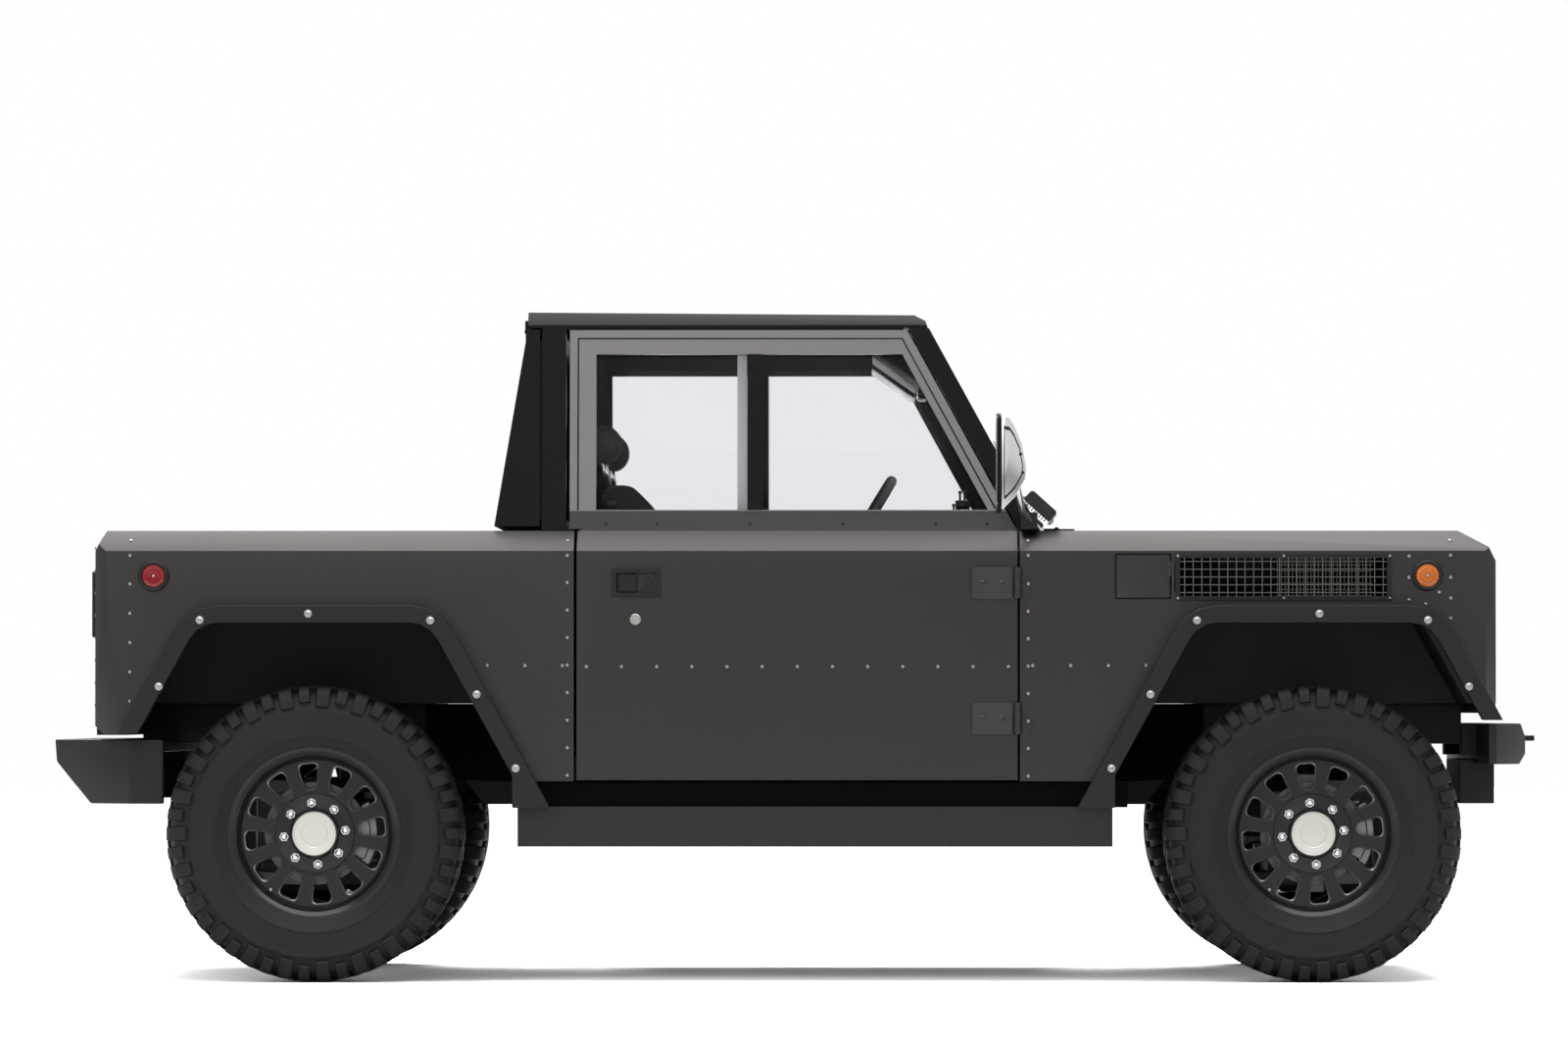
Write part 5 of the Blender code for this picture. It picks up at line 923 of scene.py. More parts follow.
under = sizes(spread=math.radians(62), boltRadius=0.116, boltTurn=0.28, springRadius=0.047, wire=0.0062, turns=6.5,
              foot=(0.56, 0.28), head=(0.52, 0.722), strutForward=0.09, low=0.1, top=0.56)
for end, axle in axles:
    for hand, side in sides:
        body = bodyOf["knuckle_" + hand if end == "front" else "rear_suspension"]
        place, name = wheelMatrix(axle, side), f"_{end}_{hand}"
        calliper = [sectorShape(0.085, 0.15, under.spread, -0.014, 0.002, place),
                    sectorShape(0.088, 0.15, under.spread * 0.92, 0.024, 0.04, place),
                    sectorShape(0.1425, 0.165, under.spread, -0.014, 0.04, place)]
        newPiece("calliper" + name, calliper, "castMetal", "cast_metal", body, bevel=0.0022)
        bracket = placed(boxShape((0.02, -0.052, -0.04), (0.112, 0.052, -0.013)), place)
        newPiece("calliperBracket" + name, bracket, "castMetal", "cast_metal", body, bevel=0.004)
        bolts = [(place @ around(turn, under.boltRadius, 0.04), (0, side, 0), forward)
                 for turn in (-under.boltTurn, under.boltTurn)]
        placeParts("calliperBolts" + name, "buttonBolt", bolts, "rivetSteel", body, 0.8)
        foot, head = (Vector((axle + under.strutForward, side * y, z)) for y, z in (under.foot, under.head))
        axis = (head - foot).normalized()
        second = axis.cross(forward)
        count, coil = int(under.turns * 20), []
        for k in range(count + 1):
            share = under.low + (under.top - under.low) * k / count
            turn = math.tau * under.turns * k / count
            coil.append(foot + (head - foot) * share
                        + (forward * math.cos(turn) + second * math.sin(turn)) * under.springRadius)
        newPiece("coilSpring" + name, tubeShape(coil, under.wire, 8), "hingeGrey", "frame_black")
        turned = Matrix((forward, second, axis)).transposed().to_4x4()
        cups = [turnedShape([(0, -0.004), (0.056, -0.004), (0.058, 0), (0.056, 0.004), (0, 0.004)], 32,
                            Matrix.Translation(foot + (head - foot) * share) @ turned)
                for share in (under.low - 0.012, under.top + 0.006)]
        newPiece("springSeats" + name, cups, "castMetal", "frame_black")
print("callipers and springs ready")

# Door mirrors: a polished housing with a dark rim, on an arm from the door pillar
mirror = sizes(back=0.486, top=1.514, low=1.25, inner=0.95, out=1.135, rim=0.0115, facet=(0.78, 0.7),
               bolts=((0.549, 1.404), (0.5545, 1.355)),
               housing=[(0.498, 1.507), (0.517, 1.503), (0.532, 1.48), (0.5525, 1.432), (0.5635, 1.37),
                        (0.5605, 1.338), (0.535, 1.292), (0.502, 1.258), (0.498, 1.258)])


for hand, side in sides:
    body = bodyOf["mirror_" + hand]

    def onMirror(name, shape, look, **rest):
        return newPiece(name + hand, shape, look, "trim_black", body, **rest)
    middle, height = side * (mirror.inner + mirror.out) / 2, (mirror.top + mirror.low) / 2
    wide, tall, place = mirror.out - mirror.inner, mirror.top - mirror.low, endMatrix(mirror.back + shiftX)
    outline = roundedOutline(wide, tall, 0.03, middle, height, per=7)
    onMirror("mirrorRim_", prismShape(outline, 0, mirror.rim, place), "roofBlack", bevel=0.0025, segments=3,
             replaced="mirror_" + hand)
    outline = roundedOutline(wide - 0.014, tall - 0.014, 0.024, middle, height, per=7)
    onMirror("mirrorGlass_", prismShape(outline, -0.0006, 0.003, place), "chrome")
    place = acrossMatrix(side)
    housing = prismShape(shifted(mirror.housing), mirror.inner + 0.003, mirror.out - 0.003, place)
    onMirror("mirrorHousing_", housing, "polished", bevel=0.007, segments=3)
    corners = [Vector(p) for p in mirror.housing]
    centre = sum(corners, Vector((0, 0))) / len(corners)
    edge, facet = (shifted(centre + (p - centre) * share for p in corners) for share in mirror.facet)
    onMirror("mirrorFacet_", frameShape(edge, facet, mirror.out - 0.005, mirror.out - 0.0022, place), "trimBlack")
    bolts = [((x + shiftX, side * (mirror.out - 0.0038), z), (0, side, 0), forward) for x, z in mirror.bolts]
    placeParts("mirrorBolts_" + hand, "rivet", bolts, "trimBlack", body)
    inner = min(abs(corner.y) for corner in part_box("mirror_" + hand))
    foot = boxShape((0.5945, side * inner, 1.2105), (0.64, side * (inner + 0.03), 1.256))
    onMirror("mirrorFoot_", foot, "trimBlack", bevel=0.003)
    arm = [(x, side * y, z) for x, y, z in ((0.62, inner + 0.02, 1.232), (0.598, inner + 0.06, 1.262),
                                            (0.586, 0.955, 1.31), (0.578, 0.975, 1.35))]
    onMirror("mirrorArm_", tubeShape(arm, 0.0095, 14), "polished", sharp=50)
print("mirrors ready")


def inCabin(name, shape, look="cabinPlastic", body="truck_body", **rest):
    return newPiece(name, shape, look, "cabin_plastic", body, **rest)


# Steering wheel
steering = sizes(x=0.117, y=0.38, z=1.21, radius=0.187, grip=0.0155, axis=Vector((-0.857, 0, 0.515)))
centre = Vector((steering.x + shiftX, steering.y, steering.z))
place = Matrix.Translation(centre) @ upright.rotation_difference(steering.axis).to_matrix().to_4x4()
turns = [2 * math.pi * k / 14 for k in range(14)]
grip = [(steering.radius + steering.grip * math.cos(a), steering.grip * math.sin(a)) for a in turns]
boss = [(0, -0.04), (0.034, -0.04), (0.046, -0.01), (0.047, 0.004), (0.04, 0.0105), (0.028, 0.0118), (0, 0.0118)]
inCabin("steeringWheel", [turnedShape(grip, 72, place), turnedShape(boss, 40, place)], body="steering_wheel_body",
        sharp=50, replaced="steering_wheel")
down = steering.axis.cross(crosswise).normalized()
if down.z > 0:
    down = -down
spokes = []
for way in (crosswise, -crosswise, down):
    across = way.cross(steering.axis).normalized()
    spokes += [tubeShape([centre + way * r + across * shift * (1 - 0.4 * (r / steering.radius)) - steering.axis * h
                          for r, h in ((0.03, 0.01), (0.1, 0.006), (0.176, 0.0))], 0.0048, 8)
               for shift in (-0.009, 0.009)]
inCabin("steeringSpokes", spokes, "meshSteel", "steering_wheel_body")

# Dash: round gauges without figures and a row of toggle switches
dash = sizes(foot=Vector((0.33, 0, 1.06)), head=Vector((0.37, 0, 1.15)), gauges=(-0.1, 0.02, 0.14), across=0.26,
             radius=0.04, ticks=21, tickTurn=12, tickStart=-30, needleTurn=195, switches=8, switchStart=-0.46,
             switchStep=0.042)
lean = (dash.head - dash.foot).normalized()
faceOut = Vector((-lean.z, 0, lean.x))


def dashMatrix(y):
    spot = dash.foot.lerp(dash.head, 0.5) + Vector((shiftX, y, 0))
    return Matrix.Translation(spot) @ Matrix((-crosswise, lean, faceOut)).transposed().to_4x4()


rims, dials, hands, r = [], [], [], dash.radius
tick = boxShape((r * 0.7, -0.0006, 0.0015), (r * 0.86, 0.0006, 0.0026))
needle = boxShape((-0.006, -0.0011, 0.0025), (r * 0.66, 0.0011, 0.0036))
for y in dash.gauges:
    place = dashMatrix(y + dash.across)
    rims.append(turnedShape([(r - 0.004, -0.002), (r + 0.002, -0.002), (r + 0.002, 0.0055), (r - 0.0005, 0.0075),
                             (r - 0.004, 0.006)], 40, place))
    dials.append(turnedShape([(0, -0.001), (r - 0.0035, -0.001), (r - 0.0035, 0.002), (0, 0.002)], 40, place))
    marks = [(tick, dash.tickStart + dash.tickTurn * k) for k in range(dash.ticks)] + [(needle, dash.needleTurn)]
    hands += [placed(bar, place @ Matrix.Rotation(math.radians(turn), 4, "Z")) for bar, turn in marks]
inCabin("gaugeRims", rims, "rivetSteel")
inCabin("gaugeFaces", dials, "gaugeFace")
inCabin("gaugeMarks", hands, "nickel")
collar = turnedShape([(0, -0.002), (0.008, -0.002), (0.008, 0.003), (0.0055, 0.005), (0, 0.005)], 14)
smallPart("toggle", joined([collar, tubeShape([(0, 0, 0.003), (0.002, 0, 0.012), (0.006, 0, 0.024)], 0.0026, 8)]))
switches = [(dashMatrix(dash.switchStart + dash.switchStep * k).translation, faceOut, -lean)
            for k in range(dash.switches)]
placeParts("dashSwitches", "toggle", switches, "rivetSteel")

# Sun visors, rear-view mirror and the window latches
visor = sizes(line=[(0.16, 1.688), (0.282, 1.602)], thick=0.016, inner=0.17, out=0.66)
latch = sizes(places=(-0.552, 0.4), half=0.0195, knobs=(-0.007, 0.005), y=0.762)
for hand, side in sides:
    outline = shifted(band(visor.line, visor.thick))
    shade = prismShape(outline, visor.inner, visor.out, acrossMatrix(side))
    inCabin("sunVisor_" + hand, shade, bevel=0.007, segments=4)
    latches = []
    for x in latch.places:
        latches.append(boxShape((x - latch.half + shiftX, -0.01, 1.2655), (x + latch.half + shiftX, 0.01, 1.29)))
        middles = [x + d + shiftX for d in latch.knobs]
        latches += [tubeShape([(x, 0, 1.288), (x, 0, 1.312)], 0.0032, 8) for x in middles]
        latches += [turnedShape([(0, 1.309), (0.0052, 1.309), (0.0052, 1.3145), (0, 1.3165)], 10,
                                Matrix.Translation((x, 0, 0))) for x in middles]
    latches = placed(joined(latches), Matrix.Translation((0, side * latch.y, 0)))
    newPiece("windowLatches_" + hand, latches, "trimBlack", "trim_black", f"door_{hand}_body")
rearView = sizes(x=0.284, z=1.612, wide=0.25, tall=0.056, border=0.016,
                 stem=[(0.308, 1.622), (0.312, 1.668), (0.306, 1.706)])
place = endMatrix(rearView.x + shiftX)
shell, pane = (roundedOutline(rearView.wide - border, rearView.tall - border, radius, 0, rearView.z, per=7)
               for border, radius in ((0, 0.024), (rearView.border, 0.018)))
inCabin("rearViewShell", prismShape(shell, 0, 0.026, place), bevel=0.006, segments=4)
inCabin("rearViewGlass", prismShape(pane, -0.0008, 0.002, place), "chrome")
inCabin("rearViewStem", tubeShape([(x, 0, z) for x, z in shifted(rearView.stem)], 0.006))
print("cabin fittings ready")

# Rubber seals in the gaps round the doors and the rear hatch, and the groove round each door's window frame
cabSlope, cabFoot = -0.0749, 0.9454


def leanMatrix(side):
    # (x, z) on the leaning outside of the cab, raised outward
    return Matrix(((1, 0, 0, 0), (0, side * cabSlope, side, side * cabFoot), (0, 1, 0, 0), (0, 0, 0, 1)))


seals = [  # line, width, low, high
    ([(-0.612, 1.7493), (0.282, 1.7493)], 0.0058, -0.014, -0.006),
    ([(0.2935, 1.7455), (0.4285, 1.5), (0.568, 1.244)], 0.0046, -0.04, -0.022),
    ([(-0.6904, 1.236), (-0.6904, 1.715)], 0.0036, -0.036, -0.006)]
groove = [(-0.5905, 1.262), (-0.5905, 1.7235), (0.2782, 1.7235), (0.529, 1.2635)]
# Lamp pod with cooling ribs on the screen pillar's foot, one on each side
pod = sizes(x=0.649, z=1.274, tilt=-42, length=0.092, depth=0.034, low=0.8, high=0.858, ribs=9, ribStep=0.0088,
            bracket=[(0.618, 1.3), (0.61, 1.262), (0.652, 1.206)])
half, deep = pod.length / 2, pod.depth / 2
for hand, side in sides:
    place = leanMatrix(side)
    shapes = [prismShape(band(line, width), low, high, place) for line, width, low, high in seals]
    newPiece("cabSeals_" + hand, shapes, "tyreRubber", "trim_black", bevel=0.0008, segments=1)
    line = prismShape(band(groove, 0.0042), -0.0005, 0.0006, place)
    newPiece("frameGroove_" + hand, line, "trimBlack", "body_paint", f"door_{hand}_body")

    turned = Matrix.Translation((pod.x, 0, pod.z)) @ Matrix.Rotation(math.radians(-pod.tilt), 4, "Y")
    place = turned @ acrossMatrix(side)

    def podShape(outline, inset=0.0, matrix=place):
        return prismShape(outline, pod.low + inset, pod.high - inset, matrix)
    shell = [(-half, -deep), (half, -deep), (half, deep * 0.7), (half - 0.006, deep), (-half + 0.006, deep),
             (-half, deep * 0.7)]
    newPiece("podShell_" + hand, podShape(shell), "cabinPlastic", "trim_black", bevel=0.0022)
    starts = [-half + 0.008 + k * pod.ribStep for k in range(pod.ribs)]
    ribs = [podShape(rectangle(x, -deep - 0.009, x + 0.0028, -deep + 0.001), 0.004) for x in starts]
    newPiece("podRibs_" + hand, ribs, "castMetal", "trim_black")
    lens = podShape(rectangle(half - 0.001, -deep + 0.004, half + 0.003, deep - 0.008), 0.006)
    newPiece("podLens_" + hand, lens, "lampClear", "lamp_clear", bevel=0.0012)
    newPiece("podBracket_" + hand, podShape(band(pod.bracket, 0.007), 0.018, acrossMatrix(side)), "polished",
             "trim_black", bevel=0.0012)
    bolts = [(turned @ Vector((end * (half + 0.001), side * (pod.low + 0.029), -deep + 0.004)),
              turned.to_3x3() @ Vector((end, 0, 0)), crosswise) for end in (-1, 1)]
    placeParts("podBolts_" + hand, "buttonBolt", bolts, "rivetSteel", size=1.2)
print("seals and pods ready")

# Hood bracing underneath, and each door's inner card with its armrest, pull and speaker
brace = sizes(rear=0.775, front=1.69, half=0.69, rib=0.05, inset=0.03, low=1.17, top=1.1823)
edges = (brace.rear, -brace.half, brace.front, brace.half)
insets = (brace.rib, brace.rib, -brace.rib, -brace.rib)
hollow = rectangle(*(edge + inset for edge, inset in zip(edges, insets)))
ribs = [frameShape(rectangle(*edges), hollow, brace.low, brace.top)]
reach = brace.half - brace.inset
for turn in (-1, 1):
    diagonal = band([(brace.rear + brace.inset, -turn * reach), (brace.front - brace.inset, turn * reach)],
                    brace.rib)
    ribs.append(prismShape(diagonal, brace.low + 0.001 + 0.001 * turn, brace.top))
newPiece("hoodBracing", ribs, "bodyPaint", "body_paint", bodyOf["hood"], bevel=0.003)

card = sizes(inner=0.855, panel=(-0.56, 0.625, 0.5, 1.15), speaker=(0.33, 0.745, 0),
             arm=[(-0.38, 0.962), (0.06, 0.962), (0.09, 0.99), (0.09, 1.014), (-0.38, 1.014)],
             pull=[(0.15, 0.955, 0.002), (0.152, 0.962, 0.034), (0.175, 1.04, 0.04), (0.198, 1.112, 0.034),
                   (0.2, 1.119, 0.002)],
             grille=[(0, 0.002), (0.074, 0.002), (0.076, 0.0075), (0.07, 0.011), (0.064, 0.009), (0.06, 0.007),
                     (0.048, 0.009), (0.03, 0.0075), (0, 0.01)])
for hand, side in sides:
    place = acrossMatrix(-side, side * card.inner)
    for name, shape, look, rest in (
            ("Card", prismShape(rectangle(*card.panel), -0.0006, 0.004, place), "cabinPlastic", {"bevel": 0.003}),
            ("Armrest", prismShape(card.arm, 0.003, 0.056, place), "cabinPlastic",
             {"bevel": 0.012, "segments": 3}),
            ("Pull", tubeShape([place @ Vector(point) for point in card.pull], 0.0085, 12), "trimBlack", {}),
            ("Speaker", turnedShape(card.grille, 48, place @ Matrix.Translation(card.speaker)), "trimBlack", {})):
        newPiece(f"door{name}_{hand}", shape, look, "body_paint", bodyOf["door_" + hand], **rest)
print("hood bracing and door cards ready")

# Woven cloth: crossed threads as two sine waves, with a slow change in colour
def weaveGroup():
    tree, given, end = newGroup("crossWeave", {"Color": (0.05, 0.05, 0.055, 1), "Threads": 900.0},
                                ("Color", "Height"))
    place = addNode(tree, "TexCoord").outputs["Object"]
    split = addNode(tree, "SeparateXYZ", {0: place}).outputs
    patch = addNode(tree, "TexNoise", {"Vector": place, "Scale": 9.0})
    waves = []
    for axis in "XY":
        spread = calculate(tree, "MULTIPLY", calculate(tree, "ADD", split[axis], split["Z"]), given["Threads"])
        waves.append(calculate(tree, "SINE", spread))
    tone = calculate(tree, "MULTIPLY_ADD", patch.outputs["Fac"], 0.6, 0.7)
    tinted = addNode(tree, "VectorMath", {0: given["Color"], "Scale": tone}, operation="SCALE")
    fill(tree, end, {"Color": tinted.outputs[0], "Height": calculate(tree, "MULTIPLY", *waves)})
    return tree


materials["seatWeave"], tree = newMaterial("seatWeave")
woven = addNode(tree, "Group", {}, node_tree=weaveGroup())
fill(tree, woven, {"Color": (0.03, 0.03, 0.032, 1)})
raised = addNode(tree, "Bump", {"Distance": 0.0006, "Height": woven.outputs["Height"]})
fill(tree, tree.nodes["Principled BSDF"], {"Roughness": 0.92, "Specular IOR Level": 0.25,
                                           "Base Color": woven.outputs["Color"],
                                           "Normal": raised.outputs["Normal"]})

# Seats: cushion, back and headrest are blown up by a short cloth simulation between sewn lines
cloth = sizes(voxel=0.01, pressure=4.0, frames=20, cap=0.012, start=0.009, seam=0.013, tuck=0.0085)
seat = sizes(middle=0.38, bolster=0.16, rest=(-0.531, 1.45), restRadius=0.062, restHalf=0.12,
             cushion=[(-0.359, 0.76), (0.231, 0.76), (0.256, 0.8), (0.241, 0.875), (0.141, 0.892), (-0.209, 0.855),
                      (-0.359, 0.86)],
             back=[(-0.199, 0.8), (-0.184, 0.9), (-0.399, 1.29), (-0.449, 1.345), (-0.514, 1.345), (-0.549, 1.31),
                   (-0.389, 0.8)])


def inset(outline, step):
    # moves a convex or nearly convex outline inward
    points, shrunk = [Vector(point) for point in outline], []
    turn = 1 if sum(points[k - 1].cross(points[k]) for k in range(len(points))) > 0 else -1
    for k, point in enumerate(points):
        before, after = (point - points[k - 1]).normalized(), (points[(k + 1) % len(points)] - point).normalized()
        first, second = (Vector((-way.y, way.x)) * turn for way in (before, after))
        middle = (first + second).normalized()
        shrunk.append(point + middle * min(step / max(middle.dot(first), 0.4), 2 * step))
    return shrunk


def blowUp(piece, flat, held):
    # swells the cloth between its held points, no further than the cap
    piece.vertex_groups.new(name="held").add(held, 1.0, "REPLACE")
    blown = modify(piece, "CLOTH")
    blown.settings.use_pressure, blown.settings.uniform_pressure_force = True, cloth.pressure
    blown.settings.vertex_group_mass = "held"
    blown.settings.effector_weights.gravity = 0.0
    blown.point_cache.frame_start, blown.point_cache.frame_end = 1, cloth.frames
    for step in range(1, cloth.frames + 1):
        scene.frame_set(step)
    settle(piece)
    scene.frame_set(1)
    for vertex, start in zip(piece.data.vertices, flat):
        move = vertex.co - start
        if move.length > cloth.cap:
            vertex.co = start + move * (cloth.cap / move.length)
    piece.vertex_groups.clear()


def paddedShape(name, outline, half, seams):
    # outline in X and Z, drawn out along Y; a point near a seam stays where it is while the rest swells
    outline = inset(outline, cloth.start)
    half -= cloth.start
    verts = [(x, seat.middle + y, z) for y in (-half, half) for x, z in outline]
    piece = meshObject(name, (verts, capFaces(2, len(outline)) + ringFaces(2, len(outline))))
    modify(piece, "BEVEL", width=0.022, segments=3, limit_method="ANGLE", angle_limit=math.radians(40))
    modify(piece, "REMESH", mode="VOXEL", voxel_size=cloth.voxel)
    modify(piece, "SMOOTH", factor=0.5, iterations=3)
    settle(piece)
    flat = [vertex.co.copy() for vertex in piece.data.vertices]
    near = [min(seam(point) for seam in seams) for point in flat]
    blowUp(piece, flat, [k for k, gap in enumerate(near) if gap < cloth.seam * 0.55])
    for vertex, gap in zip(piece.data.vertices, near):
        if gap < cloth.seam:
            vertex.co -= vertex.normal * cloth.tuck * (1 - gap / cloth.seam) ** 2
    modify(piece, "SUBSURF", levels=1, render_levels=1)
    settle(piece)
    smooth(piece.data)
    return piece


def seatSeams(across, cuts, behind):
    # distances to the two long bolster seams, and to cross seams between them at the given cuts
    def sideways(point):
        return abs(point.y - seat.middle)

    def crossSeam(cut):
        return lambda point: 1.0 if sideways(point) > seat.bolster or behind(point) else abs(across(point) - cut)
    return [lambda point: abs(sideways(point) - seat.bolster)] + [crossSeam(cut) for cut in cuts]


footX, footZ = seat.back[1]
backLine = (Vector(seat.back[2]) - Vector(seat.back[1])).normalized()


def upBack(point):
    return (point.x - footX) * backLine.x + (point.z - footZ) * backLine.y


def behindBack(point):
    return (point.x - footX) * backLine.y - (point.z - footZ) * backLine.x < -0.05


ring = [(seat.rest[0] + seat.restRadius * math.cos(k * math.tau / 16) * 0.92,
         seat.rest[1] + seat.restRadius * math.sin(k * math.tau / 16)) for k in range(16)]
seatParts = {"Cushion": (seat.cushion, 0.25, seatSeams(lambda p: p.x, (-0.19, -0.05, 0.09), lambda p: p.z < 0.8)),
             "Back": (seat.back, 0.245, seatSeams(upBack, (0.09, 0.22, 0.35), behindBack)),
             "Headrest": (ring, seat.restHalf, [lambda p: abs(abs(p.y - seat.middle) - seat.restHalf + 0.022)])}
for kind, (outline, half, seams) in seatParts.items():
    piece = paddedShape(f"seat{kind}_left", outline, half, seams)
    for hand, side in sides:
        if side < 0:
            piece = newObject(f"seat{kind}_right", piece.data.copy())
            piece.data.transform(Matrix.Translation((0, -2 * seat.middle, 0)))
            piece.data.name = piece.name
        finish(piece, "seatWeave", bodyOf["seat_" + hand], "seat_" + hand)
for hand, side in sides:
    y, body = side * seat.middle, bodyOf["seat_" + hand]
    base = boxShape((-0.289, y - 0.2, 0.564), (0.181, y + 0.2, 0.76))
    newPiece("seatBase_" + hand, base, "cabinPlastic", "seat_cloth", body, bevel=0.012)
    posts = [tubeShape([(-0.52, y + shift, 1.325), (-0.537, y + shift, 1.44)], 0.0065) for shift in (-0.03, 0.03)]
    newPiece("seatPosts_" + hand, posts, "polished", "seat_cloth", body)
print("seats ready")

# Plates, frames and rivets on the nose and the tailgate
def lampOutline(lamp, side, grow, radius):
    return roundedOutline(lamp.width + grow, lamp.height + grow, radius, side * lamp.y, lamp.z)


def onFace(name, face, outlines, top, look="trimBlack", body="truck_body", **rest):
    # one outline makes a plate, two make a frame
    make, low = (frameShape, -0.0005) if len(outlines) > 1 else (prismShape, -0.0004)
    newPiece(name, make(*outlines, low, top, face), look, "body_paint", body, **rest)


def faceRivets(name, x, way, places, body="truck_body"):
    spots = [((x, y, z), way, crosswise) for y, z in places]
    placeParts(name, "rivet", spots, "paintedRivet", body)


# Front end: headlamps with two projector cups each, and a grille between them
nose = sizes(face=1.864, y=0.675, z=1.0425, width=0.229, height=0.0742, tray=1.829, cupFoot=1.832, cup=0.0295,
             spread=0.054, grilleHalf=0.52, grilleHeight=0.066, bars=5, barStep=0.0128, posts=13, postStep=0.08,
             ventZ=0.89, ventHalf=0.571, ventLow=0.85, ventStep=0.02)
face, tray, cup = endMatrix(nose.face), endMatrix(nose.tray), nose.cup
cupProfile = [(0, 0), (cup, 0), (cup, 0.033), (cup - 0.0022, 0.0345), (cup - 0.0045, 0.033), (cup - 0.008, 0.014),
              (0, 0.011)]
lensProfile = domeProfile(cup - 0.0075, 0.0135, 5, foot=0.003, lift=0.015)
for hand, side in sides:
    node, y = "headlamp_" + hand, side * nose.y
    body = bodyOf[node]

    def inLamp(name, shape, look, **rest):
        newPiece(name + hand, shape, look, "lamp_clear", body, **rest)
    opening, inside = lampOutline(nose, side, 0, 0.006), lampOutline(nose, side, -0.01, 0.004)
    walls = [prismShape(opening, 0.0004, 0.004, tray), frameShape(opening, inside, 0.003, 0.035, tray)]
    inLamp("lampTray_", walls, "trimBlack", replaced=node)
    onFace("lampBezel_" + hand, face, [lampOutline(nose, side, 0.02, 0.01), inside], 0.006, body=body,
           bevel=0.0016)
    for index, shift in enumerate((-nose.spread, nose.spread)):
        place = endMatrix(nose.cupFoot) @ Matrix.Translation((y + shift, nose.z, 0))
        inLamp(f"lampCup{index}_", turnedShape(cupProfile, 40, place), "lampCup", sharp=30)
        inLamp(f"lampLens{index}_", turnedShape(lensProfile, 40, place), "lampLens")
    divider = roundedOutline(0.012, nose.height - 0.012, 0.002, y, nose.z)
    inLamp("lampDivider_", prismShape(divider, 0.003, 0.03, tray), "polished", bevel=0.001, replaced=node)
    pane = prismShape(lampOutline(nose, side, -0.0112, 0.004), 0.0355, 0.0395, tray)
    inLamp("lampPane_", pane, "lampPane", bevel=0.001, replaced=node)

half, tall = nose.grilleHalf, nose.grilleHeight
onFace("grilleBacking", face, [roundedOutline(2 * half, tall, 0.006, z=nose.z)], 0.0012, "frameBlack")
surround = [roundedOutline(2 * half + grow, tall + grow, radius, z=nose.z)
            for grow, radius in ((0.022, 0.01), (-0.002, 0.006))]
onFace("grilleSurround", face, surround, 0.0075, bevel=0.0018)
levels = [nose.z + (k - nose.bars // 2) * nose.barStep for k in range(nose.bars)]
posts = [(k - nose.posts // 2) * nose.postStep for k in range(nose.posts)]
bars = [boxShape((nose.face + 0.001, -half, z - 0.0018), (nose.face + 0.0066, half, z + 0.0018)) for z in levels]
bars += [boxShape((nose.face + 0.0008, y - 0.0022, nose.z - tall / 2),
                  (nose.face + 0.0054, y + 0.0022, nose.z + tall / 2)) for y in posts]
newPiece("grilleBars", bars, "trimBlack", "body_paint")
places = [((k - 10) * nose.postStep, z) for z in (0.742, 1.112) for k in range(21)]
places += [(s * 0.842, 0.79 + k * 0.052) for s in (-1, 1) for k in range(4)]
faceRivets("noseRivets", nose.face, forward, places)
# a shallow pressed panel low on the nose, with five bars
plan = [roundedOutline(*size, z=nose.ventZ)
        for size in ((1.18, 0.15, 0.02), (1.14, 0.112, 0.012), (1.142, 0.114, 0.012))]
onFace("noseVentFrame", face, plan[:2], 0.006, "bodyPaint", bevel=0.0024)
onFace("noseVentBack", face, plan[2:], 0.0008, "frameBlack")
vents = [boxShape((nose.face + 0.0004, -nose.ventHalf, z), (nose.face + 0.0052, nose.ventHalf, z + 0.009))
         for z in (nose.ventLow + k * nose.ventStep for k in range(5))]
newPiece("noseVentBars", vents, "trimBlack", "body_paint")
print("front ready")

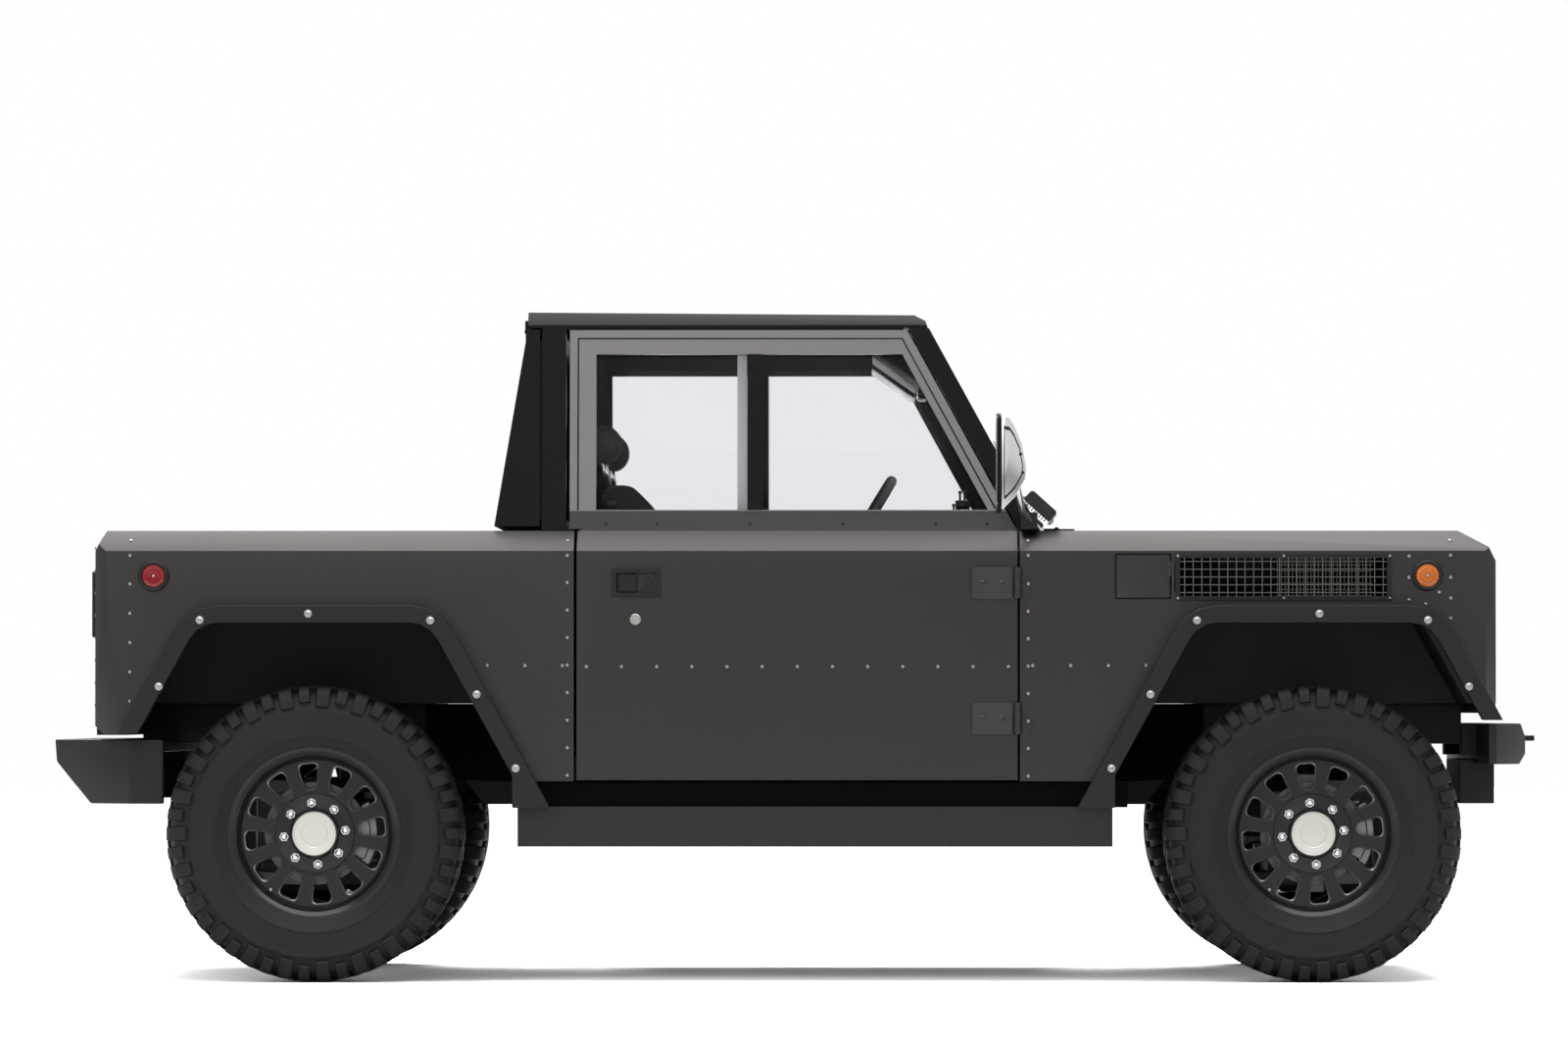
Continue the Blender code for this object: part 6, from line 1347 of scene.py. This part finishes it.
# Rear end: tail-lamp bezels and ribs, tailgate pressing lines, handle and rivets
tail = sizes(face=-1.881, y=0.8, z=1.01, width=0.1194, height=0.1594, fins=6, finStep=0.0136, half=0.05,
             pressings=(0.85, 1.04), handleZ=1.142)
face, gate = endMatrix(tail.face, -1), bodyOf["tailgate"]
for hand, side in sides:
    node, y = "tail_lamp_" + hand, side * tail.y
    body = bodyOf[node]

    def lensBar(low, top, out):
        return boxShape((tail.face - out, y - tail.half, low), (tail.face - 0.007, y + tail.half, top))
    bezel = [lampOutline(tail, side, 0.018, 0.009), lampOutline(tail, side, 0.001, 0.005)]
    onFace("tailBezel_" + hand, face, bezel, 0.01, body=body, bevel=0.0018)
    lens = prismShape(lampOutline(tail, side, 0, 0.005), -0.0212, 0.0076, face)
    newPiece("tailLens_" + hand, lens, "lampRed", "lamp_red", body, bevel=0.002, replaced=node)
    fins = [lensBar(z, z + 0.004, 0.0094) for z in (tail.z - 0.068 + k * tail.finStep for k in range(tail.fins))]
    newPiece("tailFins_" + hand, fins, "lampRed", "lamp_red", body, bevel=0.0007, segments=1)
    white = lensBar(tail.z + 0.026, tail.z + 0.062, 0.0092)
    newPiece("reverseLens_" + hand, white, "lampClear", "lamp_clear", body, bevel=0.001)

for index, z in enumerate(tail.pressings):
    pressing = [roundedOutline(1.12, 0.15, 0.022, z=z), roundedOutline(1.09, 0.12, 0.012, z=z)]
    onFace(f"gatePress{index}", face, pressing, 0.0042, "bodyPaint", gate, bevel=0.002)
plan = [roundedOutline(*size, z=tail.handleZ)
        for size in ((0.18, 0.036, 0.008), (0.166, 0.024, 0.006), (0.16, 0.018, 0.005))]
onFace("gateHandleBezel", face, plan[:2], 0.0048, body=gate, bevel=0.0012)
onFace("gateHandle", face, plan[2:], 0.0085, "hingeGrey", gate, bevel=0.0022)
places = [((k - 8) * 0.079, z) for k in range(17) for z in (0.742, 1.16)]
places += [(s * 0.655, 0.795 + k * 0.063) for s in (-1, 1) for k in range(6)]
faceRivets("gateRivets", tail.face, rearward, places, gate)
places = [(s * 0.872, 0.74 + k * 0.06) for s in (-1, 1) for k in range(8)]
faceRivets("cornerRivets", tail.face, rearward, places)

# Tie-down rings on the bed's wheel houses
tie = sizes(places=(-1.05, -1.55), y=0.618, z=0.8, radius=0.022, wire=0.0042, half=0.026, foot=0.012, head=0.034)
rings, loop = [], [around(k * math.tau / 20, tie.radius) for k in range(21)]
for hand, side in sides[::-1]:
    for x in tie.places:
        y, z = side * tie.y, tie.z
        place = Matrix.Translation((x, y, z)) @ Matrix.Rotation(math.pi / 2, 4, "X")
        low, high = (x - tie.half, y - side * 0.002, z + tie.foot), (x + tie.half, y + side * 0.006, z + tie.head)
        rings += [tubeShape([place @ point for point in loop], tie.wire, 8), boxShape(low, high)]
newPiece("tieDowns", rings, "rivetSteel", "bed_liner")
print("rear ready")

# Glass and lamps keep their CAD shape
for node, slot in slotOf.items():
    look = {"glass": "glass", "lamp_clear": "lampClear", "lamp_red": "lampRed"}.get(slot)
    if look:
        nodes[node].data.materials.clear()
        nodes[node].data.materials.append(materials[look])

for part in smallParts.values():
    bpy.data.objects.remove(part)
low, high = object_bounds()
